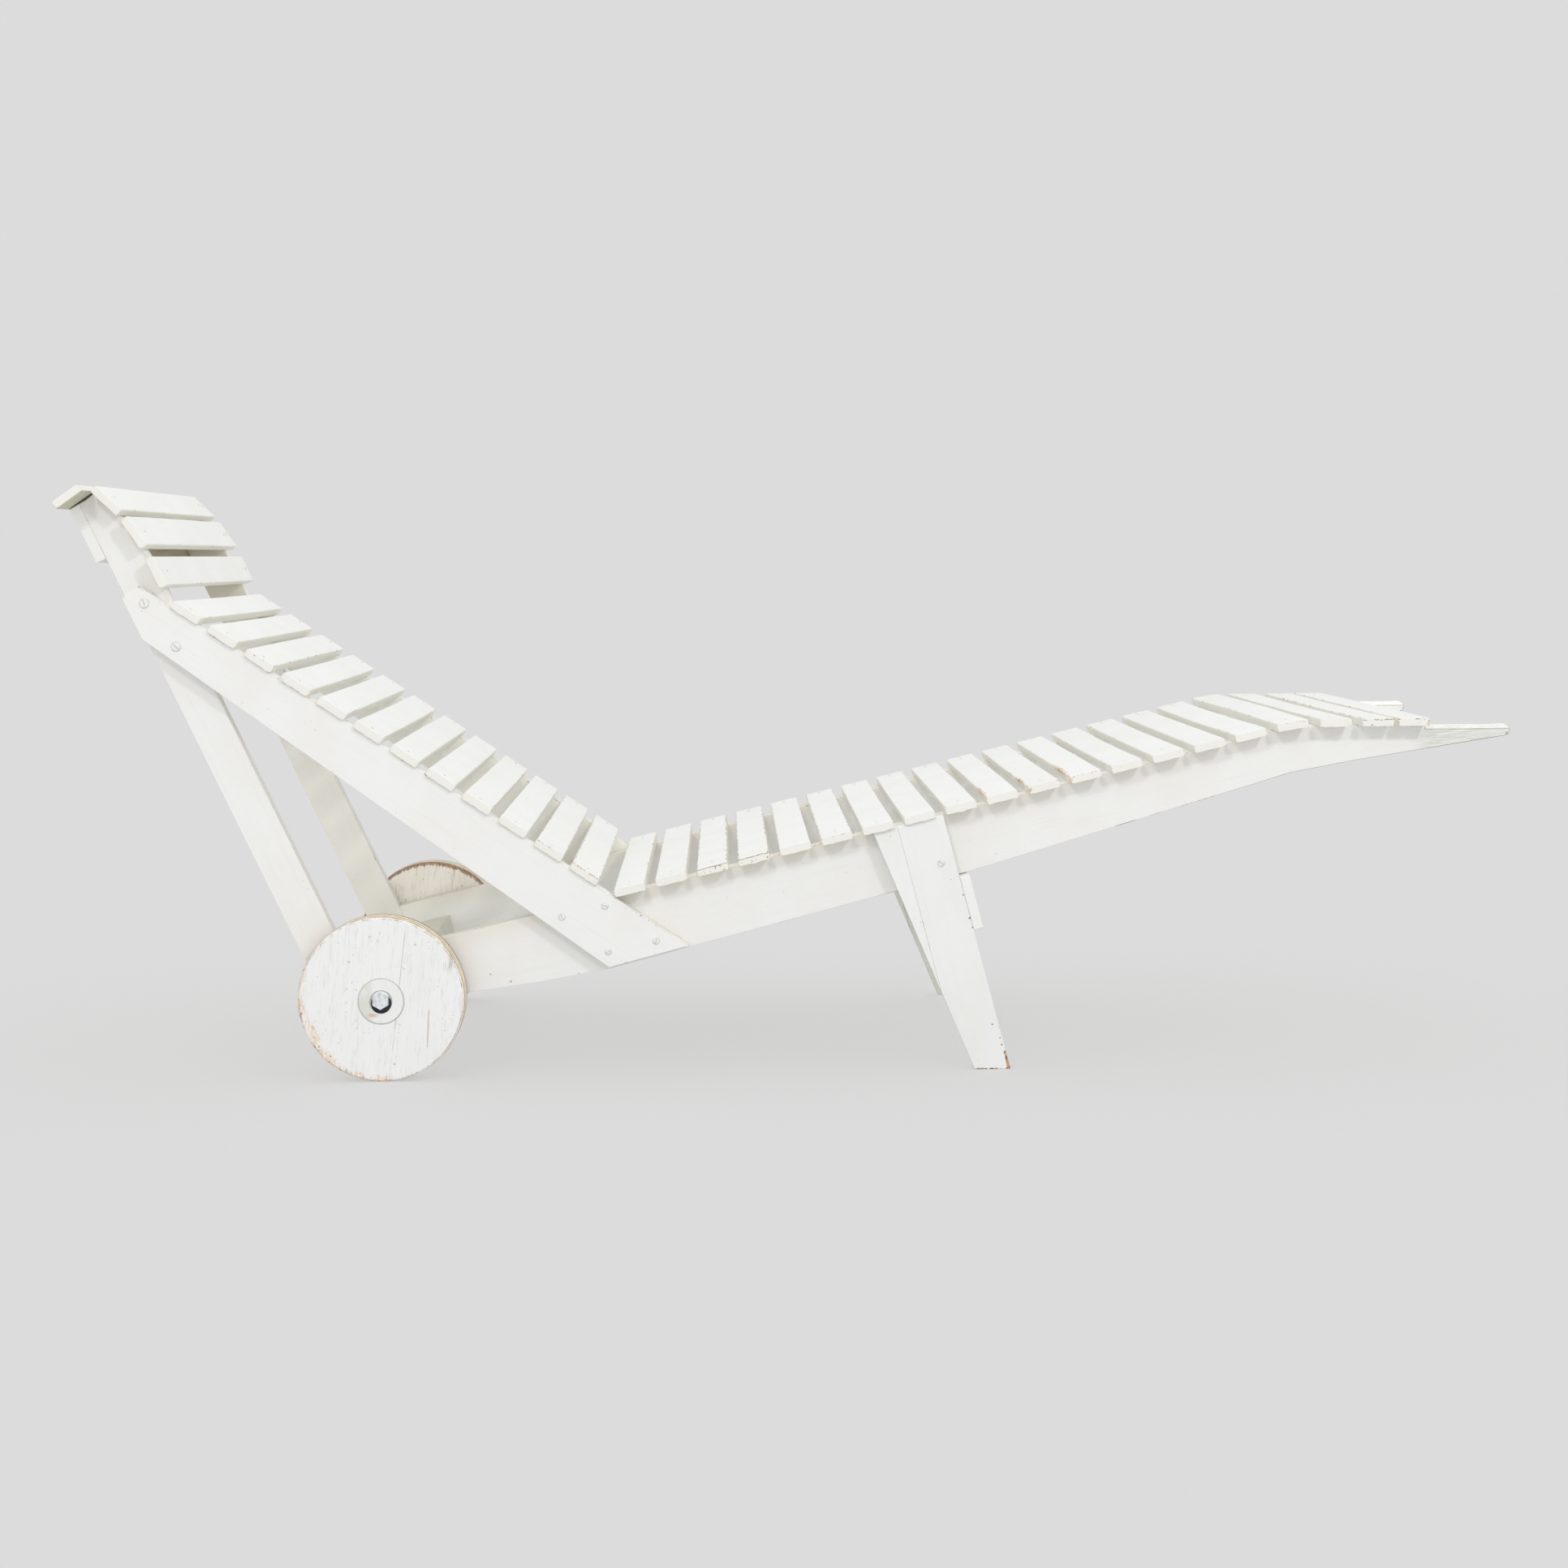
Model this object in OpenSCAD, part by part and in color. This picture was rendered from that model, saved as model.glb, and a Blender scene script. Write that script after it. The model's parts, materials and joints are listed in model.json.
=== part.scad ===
// Slatted garden lounger on two wooden wheels, carried and turned by two handles.
// Millimetres, Z up, +X towards the handles, +Y to the left of the person lying on it.
// The origin is on the floor, under the middle of the whole chair.

/* [Slats] */
// length of every seat, back and headrest slat, across the chair
slat_length = 620; // [590:1:650]
// width of one slat
slat_width = 43; // [42:0.1:44]
// open gap between two neighbouring slats
slat_gap = 14.4; // [13.8:0.1:15]
// open gap in front of the last slat at the handles
last_gap = 5; // [3:0.5:12]
// thickness of one slat
slat_thickness = 11; // [9:0.5:13]
// bevel along the long edges of every slat
slat_bevel = 1.6; // [0.8:0.1:2.4]
// how much further than the others the cap slat reaches at each end
cap_extra = 32; // [0:1:40]

/* [Side frames] */
// thickness of rails, posts and legs
board_thickness = 24; // [21:0.5:27]
// how far the slats reach past the back rails and the legs
slat_overhang = 7; // [3:0.5:11]
// slope of the seat above level, in degrees
seat_slope = 13.25; // [12.5:0.05:14]
// slope of the back above level, in degrees
back_slope = 34.3; // [33.6:0.1:35]
// height of the line where seat and back meet
junction_height = 243; // [238:1:248]
// distance from the axle to the line where seat and back meet
junction_ahead = 313.5; // [305:0.5:320]
// radius of the soft bend where the seat turns level
knee_radius = 258; // [200:2:300]
// depth of the seat rail at the junction
rail_depth_junction = 99; // [96:1:102]
// depth of the seat rail at the legs
rail_depth_leg = 88; // [84:1:91]
// depth of the seat rail at the knee
rail_depth_knee = 63.5; // [58:0.5:68]
// length of each handle past the last slat
handle_length = 118; // [100:1:130]
// radius of the rounded handle tip
tip_radius = 8.5; // [7.5:0.25:9.5]
// chamfer along the upper edges of each handle
handle_chamfer = 7; // [4:0.5:9]
// depth of the back rail at the junction
back_depth_low = 82; // [79:1:85]
// depth of the back rail at the headrest
back_depth_high = 57; // [54:1:60]

/* [Rear posts and headrest] */
// slope of the rear posts above level, in degrees
post_slope = 65.5; // [64.5:0.1:66.5]
// width of each rear post
post_width = 52.2; // [49:0.2:54]
// radius of the rounded front edge under the headrest
head_radius = 264; // [240:2:300]
// straight part of the post between the back and that rounding
head_straight = 64; // [60:0.5:68]
// slope of the cap slat above level, in degrees
cap_slope = 34; // [31:0.5:37]
// width of the cross board behind the headrest
head_board_width = 82; // [70:1:92]
// thickness of the cross board behind the headrest
head_board_thickness = 15; // [12:0.5:18]

/* [Legs] */
// distance from the junction to the rear corner of the foot
leg_ahead = 485.4; // [475:0.5:495]
// length of the foot on the floor
foot_length = 48.6; // [44:0.2:54]
// distance from the junction to the front corner at the top of the leg
leg_top_ahead = 444.5; // [438:0.5:450]
// width of the top of the leg
leg_top_width = 94.5; // [88:0.5:98]
// width of the main board of the leg
leg_board_width = 63.5; // [61:0.5:65]
// width of the cross board between the legs
leg_cross_width = 75; // [60:1:85]
// thickness of the cross board between the legs
leg_cross_thickness = 14; // [12:0.5:17]

/* [Wheels] */
// radius of each wheel
wheel_radius = 111.5; // [108:0.5:114]
// thickness of each wheel
wheel_thickness = 38; // [34:0.5:42]
// rounding bevel at the rim of each wheel
wheel_bevel = 2; // [1:0.25:4]
// radius of the axle bolt
axle_radius = 6; // [5:0.25:7]
// wall of the bush inside the wheel
bush_wall = 3; // [2.5:0.25:3.5]
// radius of the big washer ring on the wheel
ring_radius = 30; // [26:0.5:34]
// thickness of the big washer ring
ring_thickness = 2.5; // [2:0.25:3.5]
// how far the ring sits below the middle of the wheel
ring_drop = 2; // [0:0.25:2]
// radius over the corners of the hexagon bolt head
hex_radius = 12; // [11:0.25:12]
// height of the bolt head
hex_height = 7; // [6:0.5:9]
// thickness of the spacer washer between wheel and rail
spacer_thickness = 4; // [3:0.5:6]
// length of the section of the axle beam
axle_beam_long = 74; // [66:1:80]
// height of the section of the axle beam
axle_beam_high = 48; // [44:1:52]

/* [Screws and nails] */
// radius of the heads of the post screws
post_screw_head = 7; // [6:0.25:8]
// radius of the heads of the other screws
frame_screw_head = 5; // [4.5:0.25:6]
// height of a screw head
screw_head_height = 2.2; // [1.6:0.1:3]
// radius of a screw shank
screw_radius = 2.5; // [2:0.1:3]
// length of a screw shank
screw_length = 40; // [36:0.5:41]
// radius of a nail
nail_radius = 1.7; // [1.3:0.1:2]
// length of a nail
nail_length = 34; // [28:1:38]

/* [Hidden] */
// numbers of slats; the seat bends level after the slat called the knee slat
seat_slats = 20;
back_slats = 12;
head_slats = 3;
knee_slat = 17;

// clearances: between wooden parts, round a screw, in the wheel bush, along the axle
fit = 0.1;
screw_fit = 0.05;
bore_fit = 0.06;
axial_play = 0.5;
// how far a cutting shape reaches past what it cuts, and a length longer than any part
past = 1;
far_past = 5;
reach = 800;

// small distances along the slat lines
seat_start = 1.7;
knee_past_slat = 8.6;
back_start = 29.3;
post_gap = 1.2;
head_slat_early = 16.6;
apex_margin = 1.6;
slat_lower_bevel = 0.6;
cap_nail_in = 12;

// shape of the underside of the seat rail
wood_below_axle = 26;
head_end_run = 118;
junction_low_back = 9.5;
belly = 2;
leg_low_ahead = 13;
knee_low_back = 4;
grip_ahead = 81;
grip_share = 0.76;
chamfer_start = 2;

// back rail foot and crown
foot_rise = 5.5;
crown_clip = 50;

// leg cross board below the rail
cross_drop = 1;

// wheel parts
bush_proud = 1;
bolt_depth = 60;
bolt_hole_spare = 2;
flange_rim = 0.4;
flange_thickness = 2;
ring_clearance = 2.5;
spacer_radius = 20;
hex_turn = 30;

// screws and nails
shank_in_head = 0.5;
head_taper = 0.72;
slot_depth = 0.9;
slot_width = 1.4;
// places of the two post screws: up the post from the back line, and behind its front edge
post_screw_high = [17.9, 28.3];
post_screw_low = [-51.2, 16];
post_slot_turns = [75, 40];
frame_slot_turns = [20, 65, 110, 150, 35];
leg_screw_ahead = 43.9;
leg_screw_below = 64.6;
nail_proud = 0.2;

slat_paint = [0.93, 0.93, 0.91];
board_paint = [0.92, 0.92, 0.90];
rail_paint = [0.91, 0.90, 0.87];
beam_paint = [0.88, 0.87, 0.84];
bush_grey = [0.30, 0.28, 0.26];
bolt_zinc = [0.80, 0.81, 0.83];
washer_grey = [0.55, 0.54, 0.52];
nail_grey = [0.80, 0.79, 0.76];

pitch = slat_width + slat_gap;

// widths across the chair, measured from the middle plane
slat_end = slat_length / 2;
outer_face = slat_end - slat_overhang;
mid_face = outer_face - board_thickness;
inner_face = mid_face - board_thickness;
lap_face = (mid_face + inner_face) / 2;

// lines and points of the side view, axle at x = 0
function turn(a) = [cos(a), sin(a)];
function along(p, a, d) = p + d * turn(a);
function det2(u, v) = u[0] * v[1] - u[1] * v[0];
function meet(p, a, q, b) = along(p, a, det2(q - p, turn(b)) / det2(turn(a), turn(b)));

junction = [junction_ahead, junction_height];
up_back = 180 - back_slope;
up_post = 180 - post_slope;

// seat line with its soft knee
first_seat = seat_start + slat_width / 2;
knee_at = first_seat + (knee_slat - 1) * pitch + knee_past_slat;
knee_tangent = knee_radius * tan(seat_slope / 2);
knee_arc = knee_radius * seat_slope * PI / 180;
knee_start = knee_at - knee_tangent;
knee = along(junction, seat_slope, knee_at);
knee_centre = along(along(junction, seat_slope, knee_start), seat_slope - 90, knee_radius);
level_start = knee + [knee_tangent, 0];
function seat_angle(s) =
    s < knee_start ? seat_slope
    : s < knee_start + knee_arc ? seat_slope * (1 - (s - knee_start) / knee_arc)
    : 0;
function seat_point(s) =
    s < knee_start ? along(junction, seat_slope, s)
    : s < knee_start + knee_arc ? along(knee_centre, 90 + seat_angle(s), knee_radius)
    : level_start + [s - knee_start - knee_arc, 0];
function seat_s(i) =
    i < seat_slats ? first_seat + (i - 1) * pitch
    : first_seat + (i - 2) * pitch + slat_width + last_gap;
seat_end = seat_point(seat_s(seat_slats) + slat_width / 2);
handle_tip = seat_end[0] + handle_length;

// back line, counted upwards from the junction, slat 1 at the top
first_back = back_start + slat_width / 2;
function back_s(i) = first_back + (back_slats - i) * pitch;
post_meets_back = back_s(1) + slat_width / 2 + post_gap;

// rear post: front edge, rear edge, rounded top and sloping cut
post_front = along(junction, up_back, post_meets_back);
post_rear = along(post_front, up_post + 90, post_width);
round_start = along(post_front, up_post, head_straight);
round_centre = along(round_start, up_post + 90, head_radius);
first_head = head_straight - head_slat_early;
function head_s(i) = first_head + (head_slats - i) * pitch;
function head_turn(i) = max(0, (head_s(i) - head_straight) / head_radius * 180 / PI);
function head_angle(i) = up_post + head_turn(i);
function head_point(i) =
    head_turn(i) > 0 ? along(round_centre, up_post - 90 + head_turn(i), head_radius)
    : along(post_front, up_post, head_s(i));
apex_turn = head_turn(1) + (slat_width / 2 + apex_margin) / head_radius * 180 / PI;
apex = along(round_centre, up_post - 90 + apex_turn, head_radius);
cut_rear = meet(apex, 180 + cap_slope, post_rear, up_post);
round_corner = meet(round_start, up_post, apex, up_post + apex_turn);

// seat rail: top line and underside
rail_zero = junction - [junction_ahead, junction_ahead * tan(seat_slope)];
axle = [0, wheel_radius];
low_axle = axle - [0, wood_below_axle];
rail_head_top = meet(rail_zero, seat_slope, post_rear, up_post);
rail_head_low = meet(low_axle, seat_slope, post_rear, up_post);
low_start = along(low_axle, seat_slope, head_end_run);
low_junction = along(junction, seat_slope, -junction_low_back) - [0, rail_depth_junction];
low_mid = (low_start + low_junction) / 2 - [0, belly];
low_leg = along(junction, seat_slope, leg_ahead + leg_low_ahead) - [0, rail_depth_leg];
low_knee = knee - [knee_low_back, rail_depth_knee];
low_grip = knee + [grip_ahead, -grip_share * rail_depth_knee];
tip_centre = [handle_tip - tip_radius, knee[1] - tip_radius];
grip_run = tip_centre - low_grip;
grip_angle = atan2(grip_run[1], grip_run[0]) - asin(tip_radius / norm(grip_run));
tip_corner = meet(low_grip, grip_angle, tip_centre + [tip_radius, 0], 90);
under_back = atan2(low_leg[1] - low_junction[1], low_leg[0] - low_junction[0]);

// back rail corners
back_line = atan2(back_depth_low - back_depth_high, post_meets_back);
back_low = along(junction, up_back + 90, back_depth_low);
lower_edge = up_back - back_line;
back_foot_front = meet(junction, -back_slope, low_junction + [0, foot_rise], under_back);
back_foot_rear = meet(back_low, lower_edge, low_junction + [0, foot_rise], under_back);
back_head_rear = meet(back_low, lower_edge, post_rear, up_post);
back_crown = meet(junction, up_back, post_rear, up_post);
back_clip_top = along(back_crown, -back_slope, crown_clip);
back_clip_rear = along(back_crown, up_post + 180, crown_clip);

// legs
foot_rear = [junction_ahead + leg_ahead, 0];
foot_front = foot_rear + [foot_length, 0];
function on_seat(x) = junction + [x - junction_ahead, (x - junction_ahead) * tan(seat_slope)];
leg_front_top = on_seat(junction_ahead + leg_top_ahead) - [0, fit];
leg_rear_top = on_seat(junction_ahead + leg_top_ahead - leg_top_width) - [0, fit];
leg_front_slope = atan2(leg_front_top[1], leg_front_top[0] - foot_front[0]);
leg_rear_slope = atan2(leg_rear_top[1], leg_rear_top[0] - foot_rear[0]);
glue_low = along(foot_front, leg_front_slope + 90, leg_board_width);
glue_top = meet(glue_low, leg_front_slope, leg_rear_top, seat_slope);
glue_end = meet(glue_low, leg_front_slope, foot_rear, leg_rear_slope);

// origin under the middle of the chair
cap_edge = slat_thickness - slat_bevel + fit;
cap_rear = along(along(apex, 180 + cap_slope, slat_width), 90 + cap_slope, cap_edge);
x_middle = (cap_rear[0] + handle_tip) / 2;

// wheel stack, outwards from the seat rail
spacer_end = mid_face + spacer_thickness;
bush_start = spacer_end + axial_play;
wheel_start = bush_start + bush_proud;
wheel_end = wheel_start + wheel_thickness;
bush_end = wheel_end + bush_proud;
flange_start = bush_end + axial_play;
flange_end = flange_start + flange_thickness;
flange_radius = hex_radius + flange_rim;
ring_hole = flange_radius + ring_clearance;
bush_radius = axle_radius + bush_wall;
bolt_end = inner_face - bolt_depth;

// screws: [x, z] in the side view
function on_post(p) = along(along(post_front, up_post, p[0]), up_post + 90, p[1]);
post_screw_places = [on_post(post_screw_high), on_post(post_screw_low)];
junction_screw_places = [
    junction + [-12.6, -11.8],
    junction + [-70.7, -25.7],
    junction + [55.6, -60.3],
    junction + [-9.3, -73.9]
];
leg_top_middle = (leg_front_top + leg_rear_top) / 2;
leg_screw_place = [leg_top_middle[0] + leg_screw_ahead, leg_front_top[1] - leg_screw_below];
frame_screw_places = concat(junction_screw_places, [leg_screw_place]);
screw_end = outer_face + shank_in_head - screw_length;

function numbered(name, i) = str(name, i < 10 ? "0" : "", i);

// side view outline, drawn in X and Z, made solid between two distances from the middle plane
module side(from, to) {
    translate([-x_middle, 0, 0])
        rotate([90, 0, 0])
            translate([0, 0, from])
                linear_extrude(to - from)
                    children();
}

// round bar or hole across the chair between two distances from the middle plane
module bar(place, from, to, radius) {
    translate([place[0] - x_middle, -from, place[1]])
        rotate([90, 0, 0])
            cylinder(h = to - from, r = radius, $fn = 48);
}

module other_side() {
    mirror([0, 1, 0])
        children();
}

// one slat lying on the edge of the rails
module slat(place, angle, half_length) {
    w = slat_width / 2;
    b = slat_bevel;
    c = slat_lower_bevel;
    translate([place[0] - x_middle, 0, place[1]])
        rotate([0, -angle, 0])
            translate([0, half_length, fit])
                rotate([90, 0, 0])
                    linear_extrude(2 * half_length)
                        polygon([
                            [-w, c], [-w + c, 0], [w - c, 0], [w, c],
                            [w, slat_thickness - b], [w - b, slat_thickness],
                            [-w + b, slat_thickness], [-w, slat_thickness - b]
                        ]);
}

module seat_slat(i) {
    color(slat_paint)
        slat(seat_point(seat_s(i)), seat_angle(seat_s(i)), slat_end);
}

module back_slat(i) {
    color(slat_paint)
        slat(along(junction, up_back, back_s(i)), -back_slope, slat_end);
}

module head_slat(i) {
    color(slat_paint)
        slat(head_point(i), head_angle(i) - 180, slat_end);
}

module cap_slat() {
    color(slat_paint)
        slat(along(apex, 180 + cap_slope, slat_width / 2), cap_slope, slat_end + cap_extra);
}

// what is cut off a corner to round it: the corner's outline less the circle
module corner_waste(points, centre, radius) {
    difference() {
        polygon(points);
        translate(centre)
            circle(r = radius, $fn = 96);
    }
}

// seat rail in the side view, with the rounded tip and the soft knee
module rail_outline() {
    difference() {
        polygon([
            rail_head_top, knee, [handle_tip, knee[1]], tip_corner,
            low_grip, low_knee, low_leg, low_junction, low_mid, low_start, rail_head_low
        ]);
        corner_waste([
            along(knee, seat_slope, -knee_tangent),
            knee + [0, far_past],
            level_start,
            knee - [0, far_past]
        ], knee_centre, knee_radius);
        corner_waste([
            tip_centre,
            tip_centre + [0, tip_radius + far_past],
            tip_centre + [tip_radius + far_past, tip_radius + far_past],
            tip_centre + [tip_radius + far_past, -tip_radius - far_past],
            along(tip_centre, grip_angle - 90, tip_radius + far_past)
        ], tip_centre, tip_radius);
    }
}

// rear post in the side view, down to the underside of the seat rail
module post_outline() {
    difference() {
        polygon([
            meet(low_axle, seat_slope, post_front, up_post),
            round_corner, apex, cut_rear, rail_head_low
        ]);
        corner_waste([
            round_start,
            along(round_corner, up_post - 90 + apex_turn / 2, far_past),
            apex
        ], round_centre, head_radius);
    }
}

// the strip of side view taken up by the post, a hair wider than the post
module post_strip() {
    front = along(post_front, up_post - 90, fit);
    rear = along(post_rear, up_post + 90, past);
    polygon([
        along(front, up_post, -reach), along(front, up_post, reach),
        along(rear, up_post, reach), along(rear, up_post, -reach)
    ]);
}

// everything under the top line of the seat rail
module below_rail() {
    polygon([
        along(rail_zero, seat_slope, -reach) + [0, fit],
        along(rail_zero, seat_slope, reach) + [0, fit],
        [reach, -reach],
        [-reach, -reach]
    ]);
}

// blind holes for the screws, cut into whatever they pass through
module screw_holes(places) {
    for (p = places)
        bar(p, screw_end - fit, outer_face + past, screw_radius + screw_fit);
}

module seat_rail() {
    difference() {
        side(inner_face, mid_face)
            rail_outline();
        side(inner_face - past, lap_face + fit / 2)
            post_strip();
        bar(axle, inner_face - past, mid_face + past, axle_radius + fit);
        screw_holes(frame_screw_places);
        handle_chamfers();
    }
}

// two sloping cuts along the upper edges of the handle
module handle_chamfers() {
    waste = handle_chamfer * sqrt(2);
    for (y = [inner_face, mid_face])
        translate([seat_end[0] + chamfer_start - x_middle, -y, knee[1]])
            rotate([45, 0, 0])
                translate([0, -waste / 2, -waste / 2])
                    cube([handle_length + past, waste, waste]);
}

module seat_rail_right() {
    color(rail_paint)
        seat_rail();
}

module seat_rail_left() {
    color(rail_paint)
        other_side()
            seat_rail();
}

module back_rail() {
    difference() {
        side(mid_face, outer_face)
            polygon([
                back_clip_top, back_foot_front, back_foot_rear, back_head_rear, back_clip_rear
            ]);
        screw_holes(post_screw_places);
        screw_holes(junction_screw_places);
    }
}

module back_rail_right() {
    color(board_paint)
        back_rail();
}

module back_rail_left() {
    color(board_paint)
        other_side()
            back_rail();
}

module rear_post() {
    difference() {
        side(inner_face, mid_face)
            post_outline();
        side(lap_face - fit / 2, mid_face + past)
            below_rail();
        screw_holes(post_screw_places);
    }
}

module rear_post_right() {
    color(rail_paint)
        rear_post();
}

module rear_post_left() {
    color(rail_paint)
        other_side()
            rear_post();
}

module leg_board() {
    difference() {
        side(mid_face, outer_face)
            polygon([glue_top, leg_front_top, foot_front, foot_rear, glue_end]);
        screw_holes([leg_screw_place]);
    }
}

module leg_board_right() {
    color(board_paint)
        leg_board();
}

module leg_board_left() {
    color(board_paint)
        other_side()
            leg_board();
}

// tapered strip glued along the rear edge of the leg board
module leg_strip() {
    side(mid_face, outer_face)
        polygon([
            glue_end - [fit, 0],
            leg_rear_top,
            glue_top - [fit, 0]
        ]);
}

module leg_strip_right() {
    color(board_paint)
        leg_strip();
}

module leg_strip_left() {
    color(board_paint)
        other_side()
            leg_strip();
}

module head_board() {
    inner_low = along(cut_rear, up_post + 180, head_board_width);
    off = head_board_thickness;
    color(board_paint)
        side(-mid_face, mid_face)
            polygon([
                cut_rear + fit * turn(up_post + 90),
                inner_low + fit * turn(up_post + 90),
                along(inner_low, up_post + 90, off),
                meet(apex, 180 + cap_slope, along(post_rear, up_post + 90, off), up_post)
            ]);
}

module leg_cross_board() {
    inner_top = meet(low_junction, under_back, foot_front, leg_front_slope);
    start = along(inner_top, leg_front_slope + 180, cross_drop);
    out = leg_front_slope - 90;
    front_top = along(start, out, leg_cross_thickness);
    color(rail_paint)
        side(-outer_face, outer_face)
            polygon([
                along(start, out, fit),
                front_top,
                along(front_top, leg_front_slope + 180, leg_cross_width),
                along(along(start, out, fit), leg_front_slope + 180, leg_cross_width)
            ]);
}

module axle_beam() {
    a = axle_beam_long / 2;
    b = axle_beam_high / 2;
    color(beam_paint)
        difference() {
            side(-inner_face + fit, inner_face - fit)
                translate(axle)
                    rotate(seat_slope)
                        polygon([[-a, -b], [a, -b], [a, b], [-a, b]]);
            bar(axle, bolt_end - bolt_hole_spare, inner_face + past, axle_radius + fit);
            other_side()
                bar(axle, bolt_end - bolt_hole_spare, inner_face + past, axle_radius + fit);
        }
}

module wheel() {
    b = wheel_bevel;
    translate([-x_middle, -wheel_start, wheel_radius])
        rotate([90, 0, 0])
            rotate_extrude($fn = 128)
                polygon([
                    [bush_radius + screw_fit, 0], [wheel_radius - b, 0], [wheel_radius, b],
                    [wheel_radius, wheel_thickness - b], [wheel_radius - b, wheel_thickness],
                    [bush_radius + screw_fit, wheel_thickness]
                ]);
}

module wheel_right() {
    color(board_paint)
        wheel();
}

module wheel_left() {
    color(board_paint)
        other_side()
            wheel();
}

module wheel_bush() {
    difference() {
        bar(axle, bush_start, bush_end, bush_radius);
        bar(axle, bush_start - past, bush_end + past, axle_radius + bore_fit);
    }
}

module wheel_bush_right() {
    color(bush_grey)
        wheel_bush();
}

module wheel_bush_left() {
    color(bush_grey)
        other_side()
            wheel_bush();
}

module wheel_ring() {
    difference() {
        bar(axle - [0, ring_drop], wheel_end, wheel_end + ring_thickness, ring_radius);
        bar(axle - [0, ring_drop], wheel_end - past, wheel_end + ring_thickness + past, ring_hole);
    }
}

module wheel_ring_right() {
    color(board_paint)
        wheel_ring();
}

module wheel_ring_left() {
    color(board_paint)
        other_side()
            wheel_ring();
}

// shank, flange and hexagon head in one piece
module axle_bolt() {
    middle = (flange_start + flange_end) / 2;
    bar(axle, bolt_end, middle, axle_radius);
    bar(axle, flange_start, flange_end, flange_radius);
    translate([-x_middle, -middle, wheel_radius])
        rotate([90, 0, 0])
            rotate([0, 0, hex_turn])
                cylinder(h = hex_height + flange_end - middle, r = hex_radius, $fn = 6);
}

module axle_bolts() {
    color(bolt_zinc) {
        axle_bolt();
        other_side()
            axle_bolt();
    }
}

module spacer_washer() {
    difference() {
        bar(axle, mid_face, spacer_end, spacer_radius);
        bar(axle, mid_face - past, spacer_end + past, axle_radius + fit);
    }
}

module spacer_washers() {
    color(washer_grey) {
        spacer_washer();
        other_side()
            spacer_washer();
    }
}

// round head with a slot, standing on the outer boards
module slotted_screw(place, head, slot_turn) {
    difference() {
        union() {
            bar(place, screw_end, outer_face + shank_in_head, screw_radius);
            translate([place[0] - x_middle, -outer_face, place[1]])
                rotate([90, 0, 0])
                    cylinder(h = screw_head_height, r1 = head, r2 = head * head_taper, $fn = 48);
        }
        translate([place[0] - x_middle, -outer_face - screw_head_height, place[1]])
            rotate([0, slot_turn, 0])
                cube([2 * head + past, 2 * slot_depth, slot_width], center = true);
    }
}

module post_screw_pair() {
    for (i = [0:1])
        slotted_screw(post_screw_places[i], post_screw_head, post_slot_turns[i]);
}

module post_screws() {
    color(board_paint) {
        post_screw_pair();
        other_side()
            post_screw_pair();
    }
}

module frame_screw_set() {
    for (i = [0:4])
        slotted_screw(frame_screw_places[i], frame_screw_head, frame_slot_turns[i]);
}

module frame_screws() {
    color(board_paint) {
        frame_screw_set();
        other_side()
            frame_screw_set();
    }
}

// one nail driven through a slat at each side frame
module nail_pair(place, angle, distance) {
    for (y = [-distance, distance])
        translate([place[0] - x_middle, y, place[1]])
            rotate([0, -angle, 0])
                translate([0, 0, fit + slat_thickness + nail_proud - nail_length])
                    cylinder(h = nail_length, r = nail_radius, $fn = 16);
}

module slat_nails() {
    back_mid = (outer_face + mid_face) / 2;
    color(nail_grey) {
        for (i = [1:seat_slats])
            nail_pair(seat_point(seat_s(i)), seat_angle(seat_s(i)), lap_face);
        for (i = [1:back_slats])
            nail_pair(along(junction, up_back, back_s(i)), -back_slope, back_mid);
        for (i = [1:head_slats])
            nail_pair(head_point(i), head_angle(i) - 180, lap_face);
        nail_pair(along(apex, 180 + cap_slope, cap_nail_in), cap_slope, lap_face);
    }
}

for (i = [1:seat_slats])
    seat_slat(i);
for (i = [1:back_slats])
    back_slat(i);
for (i = [1:head_slats])
    head_slat(i);
cap_slat();
seat_rail_right();
seat_rail_left();
back_rail_right();
back_rail_left();
rear_post_right();
rear_post_left();
leg_board_right();
leg_board_left();
leg_strip_right();
leg_strip_left();
head_board();
leg_cross_board();
axle_beam();
wheel_right();
wheel_left();
wheel_bush_right();
wheel_bush_left();
wheel_ring_right();
wheel_ring_left();
axle_bolts();
spacer_washers();
post_screws();
frame_screws();
slat_nails();
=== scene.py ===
import json
import math
import random

import bmesh
import bpy
import numpy as np
from mathutils import Matrix, Vector, noise


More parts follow.
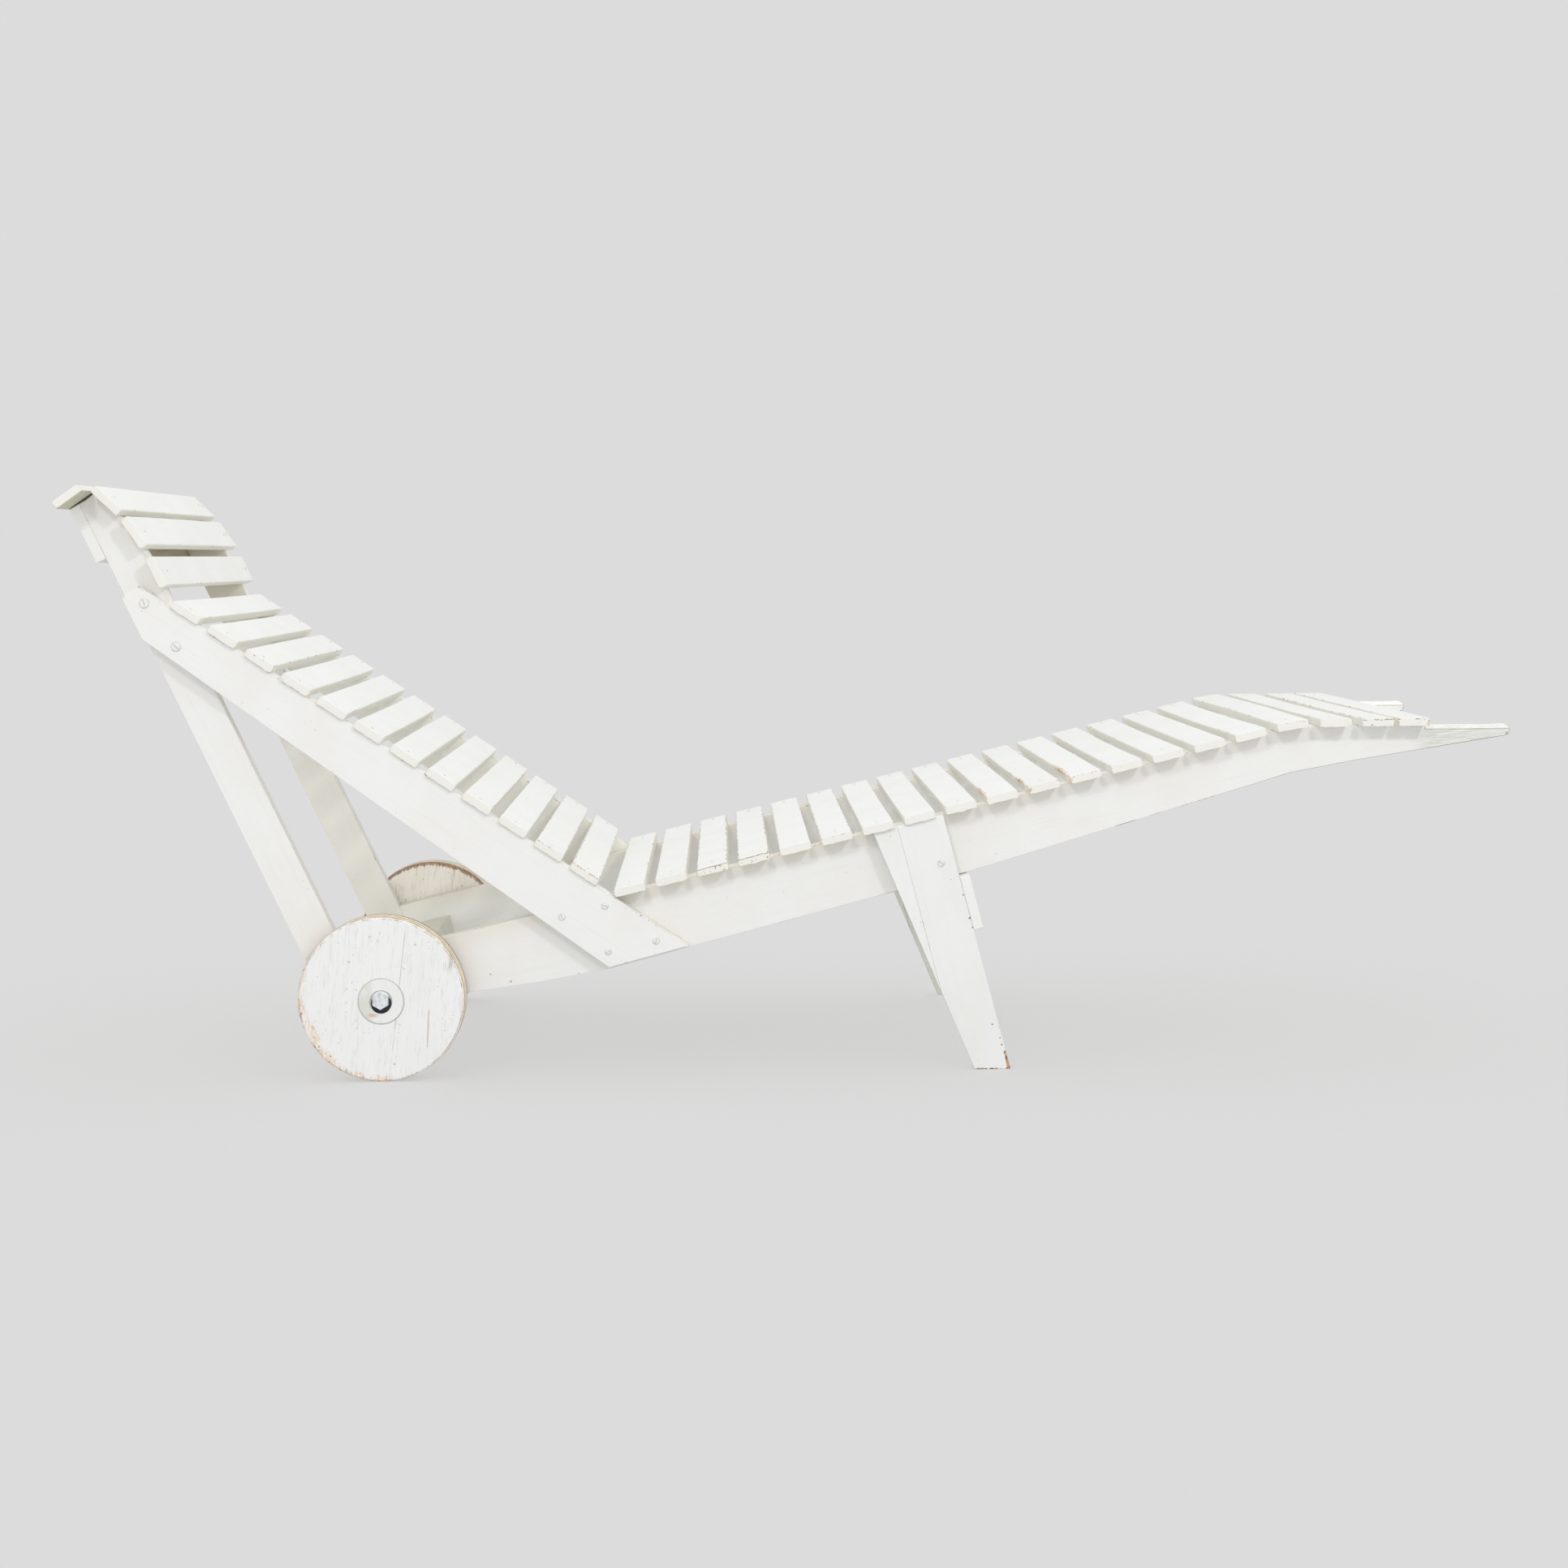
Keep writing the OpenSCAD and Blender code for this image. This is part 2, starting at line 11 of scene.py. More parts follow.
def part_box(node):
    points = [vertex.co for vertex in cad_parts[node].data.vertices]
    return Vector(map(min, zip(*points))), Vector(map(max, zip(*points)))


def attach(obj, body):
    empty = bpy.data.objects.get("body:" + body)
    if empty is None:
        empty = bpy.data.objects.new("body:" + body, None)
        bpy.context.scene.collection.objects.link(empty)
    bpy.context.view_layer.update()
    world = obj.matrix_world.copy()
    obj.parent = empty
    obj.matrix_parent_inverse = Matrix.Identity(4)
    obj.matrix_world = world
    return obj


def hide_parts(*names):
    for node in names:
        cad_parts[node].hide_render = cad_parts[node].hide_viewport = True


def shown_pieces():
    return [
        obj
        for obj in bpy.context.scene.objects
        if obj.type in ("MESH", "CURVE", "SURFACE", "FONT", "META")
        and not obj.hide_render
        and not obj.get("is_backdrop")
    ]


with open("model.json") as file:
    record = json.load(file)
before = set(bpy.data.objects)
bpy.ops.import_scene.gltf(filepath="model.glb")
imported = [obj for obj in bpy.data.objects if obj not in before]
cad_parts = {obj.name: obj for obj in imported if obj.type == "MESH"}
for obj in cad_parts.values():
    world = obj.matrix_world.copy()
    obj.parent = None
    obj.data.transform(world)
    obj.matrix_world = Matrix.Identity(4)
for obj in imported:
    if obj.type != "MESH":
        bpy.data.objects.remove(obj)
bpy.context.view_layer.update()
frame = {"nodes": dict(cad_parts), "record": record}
nodes = frame["nodes"]
bodyOf = {n: body for body, members in frame["record"]["behaviour"]["bodies"].items() for n in members}
seeds = random.Random(11)
print("frame loaded,", len(nodes), "CAD nodes")


class Signal:
    # an output socket that can stand in a sum; every sum adds a Math node
    def __init__(self, recipe, socket):
        self.recipe = recipe
        self.socket = socket

    def maths(self, operation, first, second=0.0):
        return self.recipe.node("ShaderNodeMath", {"operation": operation}, {0: first, 1: second})

    def __add__(self, other):
        return self.maths("ADD", self, other)

    def __radd__(self, other):
        return self.maths("ADD", other, self)

    def __sub__(self, other):
        return self.maths("SUBTRACT", self, other)

    def __rsub__(self, other):
        return self.maths("SUBTRACT", other, self)

    def __mul__(self, other):
        return self.maths("MULTIPLY", self, other)

    def __rmul__(self, other):
        return self.maths("MULTIPLY", other, self)

    def __abs__(self):
        return self.maths("ABSOLUTE", self)

    def root(self):
        return self.maths("SQRT", self)

    def most(self, other):
        return self.maths("MAXIMUM", self, other)


class Recipe:
    # the nodes of one material, or of the world
    def __init__(self, owner):
        self.owner = owner
        owner.use_nodes = True
        self.tree = owner.node_tree
        self.tree.nodes.clear()

    def node(self, kind, settings=None, sockets=None, out=0):
        made = self.tree.nodes.new(kind)
        for key, value in (settings or {}).items():
            setattr(made, key, value)
        for key, value in (sockets or {}).items():
            if isinstance(value, Signal):
                self.tree.links.new(value.socket, made.inputs[key])
            else:
                made.inputs[key].default_value = value
        return Signal(self, made.outputs[out]) if made.outputs else made

    def attribute(self, name, out="Fac"):
        return self.node("ShaderNodeAttribute", {"attribute_name": name}, out=out)

    def objectPlace(self):
        return self.node("ShaderNodeTexCoord", out="Object")

    def split(self, vector):
        made = self.node("ShaderNodeSeparateXYZ", sockets={0: vector}).socket.node
        return [Signal(self, made.outputs[axis]) for axis in range(3)]

    def stretch(self, vector, scales):
        return self.node("ShaderNodeVectorMath", {"operation": "MULTIPLY"}, {0: vector, 1: scales})

    def noise(self, vector, scale=1.0, detail=2.0, rough=0.5):
        return self.node("ShaderNodeTexNoise", sockets={
            "Vector": vector, "Scale": scale, "Detail": detail, "Roughness": rough})

    def ramp(self, value, low, high):
        # 0 below low, 1 above high and soft between
        return self.node("ShaderNodeMapRange", {"interpolation_type": "SMOOTHSTEP"},
                         {"Value": value, "From Min": low, "From Max": high})

    def fade(self, value, low, high):
        # 1 below low, 0 above high
        return 1 - self.ramp(value, low, high)

    def between(self, value, low, high, soft):
        # 1 from low to high, 0 outside
        return self.ramp(value, low - soft, low + soft) * self.fade(value, high - soft, high + soft)

    def spots(self, first, second, places, rough):
        # small round marks at the given places, each with its radius, in the plane of the two signals
        marks = None
        for a, b, radius in places:
            mark = self.fade(distance(first - a, second - b) + rough * radius, radius * 0.7, radius * 1.1)
            marks = mark if marks is None else marks.most(mark)
        return marks

    def mix(self, share, first, second):
        return self.node("ShaderNodeMix", {"data_type": "RGBA"}, {0: share, 6: first, 7: second}, out=2)

    def surface(self, colour, rough, height, depth, metal=0.0):
        bump = self.node("ShaderNodeBump", sockets={"Height": height, "Distance": depth, "Strength": 1.0})
        shader = self.node("ShaderNodeBsdfPrincipled", sockets={
            "Base Color": colour, "Roughness": rough, "Metallic": metal, "Normal": bump})
        self.node("ShaderNodeOutputMaterial", sockets={"Surface": shader})
        return self.owner


class Coat:
    # what the details of a painted piece read and change: its places, its noises, its colour, chips and height
    def __init__(self, recipe, **signals):
        self.recipe = recipe
        vars(self).update(signals)

    def tint(self, where, colour, share=1.0):
        # lays the colour over the places where the signal is 1, as strongly as share says
        self.colour = self.recipe.mix(where if share == 1.0 else where * share, self.colour, colour)


def distance(a, b):
    return (a * a + b * b).root()


def screen(red, green, blue):
    # a colour as a screen shows it, 0 to 255, as the linear light that Blender reckons with
    parts = [c / 255 for c in (red, green, blue)]
    return tuple(c / 12.92 if c <= 0.04045 else ((c + 0.055) / 1.055) ** 2.4 for c in parts) + (1.0,)


def newMaterial(name):
    return Recipe(bpy.data.materials.new(name))


# brushed white paint on wood; boardPlace is along the grain, across it and away from the middle, in metres, and
# a pair of levels says where a mark starts and where it is whole
paintLook = {
    "light": screen(243, 244, 242),
    "warm": screen(238, 237, 232), "warmLevel": (0.35, 0.68), "toneShare": 0.1,
    "lines": screen(218, 216, 209), "lineShare": 0.16, "lineLevel": (0.55, 0.78),
    "dirt": screen(176, 168, 154), "dirtShare": 0.6, "dentLevel": (0.70, 0.74), "dentPatches": (0.52, 0.62),
    # inside is painted shade on a piece's inner faces, laid as strongly as insideShare says
    "inside": screen(231, 228, 218), "insideShare": 0.0, "insideDepth": 0.004,
    "bare": screen(206, 164, 122), "chipLevel": (1.14, 1.19),
    "dark": screen(124, 92, 66), "darkLevel": (0.60, 0.82),
    "streaks": (5.0, 120.0, 120.0), "fibres": (16.0, 700.0, 700.0), "patches": (30.0, 90.0, 90.0),
    "clouds": 11.0, "specks": 260.0,
    "rough": 0.42, "relief": 0.00035,
}


def paintedWood(name, look, detail=None):
    look = {**paintLook, **look}
    recipe = newMaterial(name)
    place = recipe.attribute("boardPlace", "Vector")
    along, across, outward = recipe.split(place)
    place = recipe.node("ShaderNodeVectorMath", {"operation": "ADD"}, {
        0: place, 1: recipe.attribute("woodShift", "Vector")})
    coat = Coat(
        recipe, place=place, along=along, across=across, outward=outward,
        inward=recipe.fade(outward, look["insideDepth"], look["insideDepth"] * 2),
        wear=recipe.attribute("wear"),
        streak=recipe.noise(recipe.stretch(place, look["streaks"]), detail=4.0, rough=0.6),
        fibre=recipe.noise(recipe.stretch(place, look["fibres"])),
        patch=recipe.noise(recipe.stretch(place, look["patches"]), detail=3.0, rough=0.65),
        cloud=recipe.noise(place, look["clouds"], 3.0),
        speck=recipe.noise(place, look["specks"]),
        colour=look["light"],
    )
    tone = recipe.attribute("tone") * look["toneShare"]
    coat.tint(recipe.ramp(coat.cloud + tone, *look["warmLevel"]), look["warm"])
    # painted light and shade on the inner faces
    coat.tint(coat.inward, look["inside"], look["insideShare"])
    lines = recipe.ramp(coat.streak * 0.6 + coat.fibre * 0.5, *look["lineLevel"])
    coat.tint(lines, look["lines"], look["lineShare"])
    dents = recipe.ramp(coat.speck, *look["dentLevel"]) * recipe.ramp(coat.patch, *look["dentPatches"])
    coat.tint(dents, look["dirt"], look["dirtShare"])
    coat.chips = recipe.ramp(coat.wear * 0.5 + coat.patch, *look["chipLevel"])
    coat.height = coat.streak * 0.45 + coat.fibre * 0.35 - dents * 0.4
    if detail:
        detail(recipe, coat)
    wood = recipe.mix(recipe.ramp(coat.speck + coat.fibre * 0.4, *look["darkLevel"]), look["bare"], look["dark"])
    coat.tint(coat.chips, wood)
    rough = look["rough"] + coat.streak * 0.16 + coat.chips * 0.3
    return recipe.surface(coat.colour, rough, coat.height - coat.chips * 0.7, look["relief"])


# how the CAD shapes are copied: corners nearer than together would be overrun by a rounded edge, angles are in
# degrees, an outline smaller than smallest stays sharp, and mark is the material number of the rounded faces
copying = {"together": 0.0003, "flat": 1.2, "sharp": 25, "smooth": 50, "smallest": 0.022, "steps": 3, "mark": 1}


def onlyPick(piece):
    bpy.ops.object.select_all(action="DESELECT")
    piece.select_set(True)
    bpy.context.view_layer.objects.active = piece


def pick(piece, kind, test):
    # in edit mode, selects just the verts or edges that pass the test
    bpy.ops.mesh.select_mode(type={"verts": "VERT", "edges": "EDGE"}[kind])
    bpy.ops.mesh.select_all(action="DESELECT")
    shape = bmesh.from_edit_mesh(piece.data)
    for part in [p for p in getattr(shape, kind) if test(p)]:
        part.select_set(True)
    shape.select_flush_mode()
    bmesh.update_edit_mesh(piece.data)


def roundEdges(width, steps, mark=-1):
    bpy.ops.mesh.bevel(offset=width, segments=steps, profile=0.5, affect="EDGES", clamp_overlap=False, material=mark)


def markWear(piece):
    # 1 along the middle of each rounded edge, 0 elsewhere
    shape = bmesh.from_edit_mesh(piece.data)
    layer = shape.verts.layers.float.new("wear")
    for vert in shape.verts:
        vert[layer] = float(all(face.material_index == copying["mark"] for face in vert.link_faces))
    for face in shape.faces:
        face.material_index = 0
    bmesh.update_edit_mesh(piece.data)


def coordinates(piece):
    places = np.empty(len(piece.data.vertices) * 3, np.float32)
    piece.data.vertices.foreach_get("co", places)
    return places.reshape(-1, 3)


def setAttribute(piece, name, values):
    kind, field = ("FLOAT_VECTOR", "vector") if values.ndim == 2 else ("FLOAT", "value")
    made = piece.data.attributes.new(name, kind, "POINT")
    made.data.foreach_set(field, values.astype(np.float32).ravel())


def softShade(piece):
    # smooth over rounded edges, with the flat faces kept flat
    onlyPick(piece)
    bpy.ops.object.shade_smooth_by_angle(angle=math.radians(copying["smooth"]))
    level = piece.modifiers.new("level", "WEIGHTED_NORMAL")
    level.keep_sharp = True
    bpy.ops.object.modifier_apply(modifier=level.name)


def seat(piece, node, material):
    # the piece stands for the CAD node, on its body and with its material
    piece.data.materials.clear()
    piece.data.materials.append(material)
    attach(piece, bodyOf[node])
    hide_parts(node)


def copyOf(node, name):
    # the node's shape as one closed skin of flat faces, with the edges between them marked as seams
    piece = bpy.data.objects.new(name, nodes[node].data.copy())
    bpy.context.scene.collection.objects.link(piece)
    onlyPick(piece)
    bpy.ops.mesh.customdata_custom_splitnormals_clear()
    piece.data.materials.clear()
    for slot in range(copying["mark"] + 1):
        piece.data.materials.append(None)
    bpy.ops.object.mode_set(mode="EDIT")
    bpy.ops.mesh.select_all(action="SELECT")
    bpy.ops.mesh.remove_doubles(threshold=copying["together"])
    sharp = math.radians(copying["sharp"])
    pick(piece, "edges", lambda e: len(e.link_faces) == 2 and e.calc_face_angle(0.0) > sharp)
    bpy.ops.mesh.mark_seam()
    bpy.ops.mesh.select_all(action="SELECT")
    bpy.ops.mesh.dissolve_limited(angle_limit=math.radians(copying["flat"]), delimit={"SEAM"})
    bpy.ops.object.mode_set(mode="OBJECT")
    return piece


def outlineEdges(shape, smallest):
    # seams, less the rims of screw holes and whatever else forms a loop smaller than smallest
    left = {e for e in shape.edges if e.seam}
    kept = set()
    while left:
        loop, front = set(), [left.pop()]
        while front:
            edge = front.pop()
            loop.add(edge)
            for vert in edge.verts:
                for near in vert.link_edges:
                    if near in left:
                        left.discard(near)
                        front.append(near)
        corners = [v.co for e in loop for v in e.verts]
        span = max(max(c[axis] for c in corners) - min(c[axis] for c in corners) for axis in range(3))
        if span > smallest:
            kept |= loop
    return {e.index for e in kept}


def boardPlaces(piece, angle, origin=(0.0, 0.0)):
    # along and across the grain in the side view, and away from the chair's middle plane
    places = coordinates(piece)
    slope = math.radians(angle)
    x, z = places[:, 0] - origin[0], places[:, 2] - origin[1]
    side = np.abs(places[:, 1])
    return np.stack([
        x * math.cos(slope) + z * math.sin(slope), z * math.cos(slope) - x * math.sin(slope), side - side.min()
    ], axis=1)


def crossPlaces(piece):
    # the same for a board whose grain runs across the chair
    return coordinates(piece)[:, [1, 2, 0]]


def ownWood(piece):
    # each piece is cut from another part of the wood, and is painted a little lighter or darker
    count = len(piece.data.vertices)
    setAttribute(piece, "woodShift", np.tile([seeds.uniform(0, 40) for _ in range(3)], (count, 1)))
    setAttribute(piece, "tone", np.full(count, seeds.uniform(-1, 1)))


def wornBoard(node, settings, material, places):
    piece = copyOf(node, "painted_" + node)
    bpy.ops.object.mode_set(mode="EDIT")
    shape = bmesh.from_edit_mesh(piece.data)
    shape.edges.index_update()
    outline = outlineEdges(shape, copying["smallest"])
    pick(piece, "edges", lambda e: e.index in outline)
    roundEdges(settings["edge"], copying["steps"], copying["mark"])
    markWear(piece)
    bpy.ops.object.mode_set(mode="OBJECT")
    setAttribute(piece, "boardPlace", places(piece))
    ownWood(piece)
    softShade(piece)
    seat(piece, node, material)


def slatFrame(node):
    # where the node lies, as a matrix with X across the slat, Y along it and Z up through it, and its three sizes
    places = coordinates(nodes[node])
    flat = places[:, [0, 2]]
    centred = flat - flat.mean(0)
    vectors = np.linalg.eigh(centred.T @ centred)[1]
    across = vectors[:, 1] * np.sign(vectors[0, 1])
    up = np.array([-across[1], across[0]])
    a, u = flat @ across, flat @ up
    base = across * (a.min() + a.max()) / 2 + up * u.min()
    matrix = Matrix(((across[0], 0, up[0], base[0]), (0, 1, 0, 0), (across[1], 0, up[1], base[1]), (0, 0, 0, 1)))
    return matrix, (float(np.ptp(a)), float(np.ptp(places[:, 1])), float(np.ptp(u)))


def reach(node, angle):
    # the lowest and highest place across the grain
    across = boardPlaces(nodes[node], angle)[:, 1]
    return float(across.min()), float(across.max())


def nearSide(recipe, y):
    # 1 on the right half of the chair, 0 on the left
    return recipe.fade(y, -0.01, 0.01)


# boards are the CAD shapes with hand-worn edges; grain is the slope of the board in the side view, in degrees
# the inside colour is painted light on the seat rails' inner faces and painted shade on the legs', with a warmer
# tone on the others
boards = {
    "seat_rail": {"grain": 13.25, "edge": 0.0010, "look": {
        "light": screen(241, 241, 239), "warm": screen(239, 238, 234), "inside": screen(250, 250, 247)}},
    "back_rail": {"grain": -34.3, "edge": 0.0008, "look": {
        "light": screen(242, 242, 240), "warm": screen(240, 239, 236), "inside": screen(240, 239, 230)}},
    "rear_post": {"grain": -65.5, "edge": 0.0010, "look": {
        "light": screen(242, 242, 240), "warm": screen(240, 239, 235), "inside": screen(240, 238, 229)}},
    "leg_board": {"grain": 104.4, "edge": 0.0007, "look": {
        "light": screen(240, 241, 239), "warm": screen(237, 237, 234), "inside": screen(212, 212, 202)}},
    "leg_strip": {"grain": 104.4, "edge": 0.0004, "look": {
        "light": screen(241, 242, 240), "warm": screen(238, 238, 235), "inside": screen(224, 224, 214)}},
}
boardInside = 0.9  # how strongly a board's inner face takes its inside colour, which is painted light and shade

# rails; dents are x, z and radius, rubbed and flecked are stretches of x along the lower edge with how softly they
# end, and what is laid over the paint is a colour with its strength, here and for the other pieces
railMarks = {
    "ledge": (screen(233, 224, 208), 0.6), "ledgePatches": (0.45, 0.62), "ledgeBelow": (0.0035, 0.00105),
    "ledgeFrom": (-0.24, -0.22),  # along the grain of the seat rail
    "specks": (screen(168, 128, 92), 0.8), "speckLevel": (0.60, 0.66), "speckPatches": (0.98, 1.06),
    # warm and the keys after it are painted warm shade on the rail's side under the slats
    "warm": (screen(234, 227, 214), 0.6), "shadeBelow": 0.034, "shadeFades": (0.3, 0.55), "shadeFurther": 0.45,
    "edgeWear": (0.0, 0.3), "lowerEdge": (0.250, 0.252),
    "rubbed": (0.430, 0.492, 0.012), "rub": (screen(150, 116, 92), 0.85), "rubPatches": (0.36, 0.46),
    "flecked": (0.522, 0.572, 0.006), "fleck": (screen(208, 144, 98), 0.9), "fleckLevel": (0.46, 0.54),
    "dents": [(-0.4182, 0.1367, 0.0013), (-0.3910, 0.1265, 0.0018), (-0.2989, 0.1360, 0.0012),
              (0.9668, 0.4468, 0.0020)],
    "dent": (screen(150, 116, 92), 0.6),
}
# handles: weathered grey with the grain showing, and painted shade that makes the side under the top greyer than the
# top
handleWearAndShade = {
    "held": (0.905, 0.950),  # along the grain of the rail
    "from": 0.90,  # the same place, from the middle of the chair
    "grey": screen(233, 234, 228), "lines": screen(164, 162, 152), "lineShare": 0.45, "topShare": 0.5,
    "sideShare": 0.35, "streaks": (30.0, 90.0, 700.0), "grain": (0.44, 0.60),
    "paleTop": (0.0090, 0.0070),  # the grey side ends this far under the handle's top
    "edge": (screen(132, 126, 114), 0.9),
    "lower": (screen(132, 126, 114), 0.6), "lowerFrom": (0.50, 0.80), "lowerBelow": (0.02, 0.01),
}
railPlaces = coordinates(nodes["seat_rail_right"])
handleTop = float(railPlaces[railPlaces[:, 0] > handleWearAndShade["from"]][:, 2].max())


def under(place, distances):
    # the two places that lie so far under a place
    return [place - far for far in distances]


def ledgeDirt(recipe, coat, high, start=None):
    # between the slats the upper edge has warm dirt and small brown specks, from start on where it is given
    top = recipe.ramp(coat.across, *under(high, railMarks["ledgeBelow"]))
    if start:
        top = top * recipe.ramp(coat.along, *start)
    coat.tint(top * recipe.ramp(coat.patch, *railMarks["ledgePatches"]), *railMarks["ledge"])
    specks = top * recipe.ramp(coat.speck, *railMarks["speckLevel"])
    coat.tint(specks * recipe.ramp(coat.cloud + coat.patch, *railMarks["speckPatches"]), *railMarks["specks"])


def backRailDetail(recipe, coat):
    ledgeDirt(recipe, coat, reach("back_rail_right", boards["back_rail"]["grain"])[1])


def railDetail(recipe, coat):
    high = reach("seat_rail_right", boards["seat_rail"]["grain"])[1]
    place = recipe.objectPlace()
    x, y, z = recipe.split(place)
    # the handles are greyer, with the grain showing and pale on top; the side under the top is greyer still as
    # painted shade, and darker along the edges
    held = recipe.ramp(coat.along, *handleWearAndShade["held"])
    streaks = recipe.noise(recipe.stretch(place, handleWearAndShade["streaks"]), 1.0, 4.0, 0.7)
    grain = recipe.ramp(streaks * 0.7 + coat.fibre * 0.3, *handleWearAndShade["grain"])
    grey = recipe.mix(grain * handleWearAndShade["lineShare"], handleWearAndShade["grey"], handleWearAndShade["lines"])
    side = held * recipe.fade(z, *under(handleTop, handleWearAndShade["paleTop"]))
    coat.tint(held * handleWearAndShade["topShare"] + side * handleWearAndShade["sideShare"], grey)
    coat.tint(held * coat.wear * side, *handleWearAndShade["edge"])

    # painted warm shade on the upper part of the side, under the slats, less so towards the handle
    further = 1 - recipe.ramp(coat.along, *railMarks["shadeFades"]) * (1 - railMarks["shadeFurther"])
    shaded = recipe.ramp(coat.across, high - railMarks["shadeBelow"], high) * further * (1 - held)
    coat.tint(shaded, *railMarks["warm"])

    # single marks on the near rail
    near = nearSide(recipe, y)
    edge = near * recipe.ramp(coat.wear, *railMarks["edgeWear"]) * recipe.fade(coat.across, *railMarks["lowerEdge"])
    rubbed = edge * recipe.between(x, *railMarks["rubbed"]) * recipe.ramp(coat.patch, *railMarks["rubPatches"])
    flecks = edge * recipe.between(x, *railMarks["flecked"]) * recipe.ramp(coat.speck, *railMarks["fleckLevel"])
    coat.tint(rubbed, *railMarks["rub"])
    coat.tint(flecks, *railMarks["fleck"])
    coat.tint(near * recipe.spots(x, z, railMarks["dents"], coat.speck - 0.5), *railMarks["dent"])
    ledgeDirt(recipe, coat, high, railMarks["ledgeFrom"])
    lower = coat.wear * recipe.ramp(coat.along, *handleWearAndShade["lowerFrom"])
    coat.tint(lower * recipe.fade(coat.across, *under(high, handleWearAndShade["lowerBelow"])), *handleWearAndShade["lower"])
    coat.height = coat.height - held * grain * 0.4
    coat.chips = coat.chips * (1 - held)


# the near leg's foot; holes are x, z and radius
footWear = {
    "cornerWide": 0.0060, "cornerHigh": 0.036, "lineHigh": 0.0030, "bareLevel": (0.78, 0.84),
    "hole": (screen(120, 104, 84), 0.85),
    "holes": [
        (0.2232, 0.2395, 0.0012), (0.2319, 0.2078, 0.0017), (0.2351, 0.1945, 0.0012), (0.1927, 0.2835, 0.0014),
        (0.2618, 0.0617, 0.0013), (0.2722, 0.0430, 0.0012), (0.2745, 0.0335, 0.0014),
    ],
}


def footDetail(recipe, coat):
    # bare wood at the front corner of the sawn foot and in a thin line along it, and a few small holes
    wide, high, thin = footWear["cornerWide"], footWear["cornerHigh"], footWear["lineHigh"]
    x, y, z = recipe.split(recipe.objectPlace())
    front = reach("leg_board_right", boards["leg_board"]["grain"])[0]
    near = nearSide(recipe, y)
    corner = near * recipe.fade(coat.across - front, wide * 0.5, wide) * recipe.fade(z, high * 0.6, high)
    line = near * recipe.fade(z, thin * 0.5, thin)
    bare = corner * 0.50 + line * 0.46 + coat.patch * 0.6 + coat.speck * 0.15
    coat.tint(recipe.spots(x, z, footWear["holes"], coat.speck - 0.5), *footWear["hole"])
    coat.chips = coat.chips.most(recipe.ramp(bare, *footWear["bareLevel"]) * corner.most(line))


# painted shadow under the cap slat; middle is along the slat's width from its centre, and the shadow narrows away
# from there
capShadowLine = {"gap": (screen(58, 52, 38), 0.92), "middle": 0.006, "narrows": 0.09, "depth": (0.0030, 0.0040)}
capLine = slatFrame("cap_slat")[0]


def capShade(recipe, coat):
    # painted contact shadow: a dark line between the cap slat and the boards that it lies on
    x, _, z = recipe.split(recipe.objectPlace())
    across, up, base = capLine.col[0], capLine.col[2], capLine.col[3]
    below = (base.x * up.x + base.z * up.z) - x * up.x - z * up.z
    sideways = abs(x * across.x + z * across.z - (base.x * across.x + base.z * across.z) - capShadowLine["middle"])
    coat.tint(recipe.fade(below + sideways * capShadowLine["narrows"], *capShadowLine["depth"]), *capShadowLine["gap"])


headBoard = {
    "slope": 114.5,  # of its faces in the side view, in degrees
    "shadeEnds": (0.018, 0.026),  # up the board
    # dirt and grain are the colours of the painted shade in the recess behind the slats
    "dirt": screen(190, 182, 160), "grain": screen(156, 146, 120), "grainLevel": (0.42, 0.62),
}
postShade = {"shadeEnds": (-0.97, -0.84), "share": 0.8}  # where the painted shade ends is along the grain of the post


def headPlaces(piece):
    # grain across the chair, then up the board, then back from the side that faces the slats
    places = coordinates(piece)
    slope = math.radians(headBoard["slope"])
    up = places[:, 0] * math.cos(slope) + places[:, 2] * math.sin(slope)
    back = places[:, 0] * -math.sin(slope) + places[:, 2] * math.cos(slope)
    return np.stack([places[:, 1], up - up.min(), back - back.min()], axis=1)


def headDetail(recipe, coat):
    # painted shade, greenish-beige with the grain showing, on the side towards the slats, low down
    grain = recipe.ramp(coat.streak * 0.5 + coat.fibre * 0.5, *headBoard["grainLevel"])
    dirt = recipe.mix(grain, headBoard["dirt"], headBoard["grain"])
    coat.tint(coat.inward * recipe.fade(coat.across, *headBoard["shadeEnds"]), dirt)
    capShade(recipe, coat)


def postDetail(recipe, coat):
    # the post's upper end, on its inner face, takes the same painted shade as the head board
    high = coat.inward * recipe.fade(coat.along, *postShade["shadeEnds"])
    coat.tint(high, headBoard["dirt"], postShade["share"])
    capShade(recipe, coat)


details = {"seat_rail": railDetail, "back_rail": backRailDetail, "leg_board": footDetail, "rear_post": postDetail}
for kind, settings in boards.items():
    look = {"insideShare": boardInside, **settings["look"]}
    material = paintedWood(kind + "_paint", look, details.get(kind))
    for side in ("right", "left"):
        wornBoard(kind + "_" + side, settings, material, lambda p: boardPlaces(p, settings["grain"]))

crossBoards = {
    "head_board": {"edge": 0.0008, "places": headPlaces, "detail": headDetail, "look": {
        "light": screen(242, 242, 240), "warm": screen(240, 239, 235), "insideShare": 0.4, "insideDepth": 0.0002}},
    "leg_cross_board": {"edge": 0.0016, "places": crossPlaces, "detail": None, "look": {
        "light": screen(242, 242, 241), "warm": screen(240, 240, 238)}},
    "axle_beam": {"edge": 0.0010, "places": crossPlaces, "detail": None, "look": {
        "light": screen(230, 228, 216), "warm": screen(222, 218, 204)}},
}
for node, settings in crossBoards.items():
    material = paintedWood(node + "_paint", settings["look"], settings["detail"])
    wornBoard(node, settings, material, settings["places"])
print("boards worn")


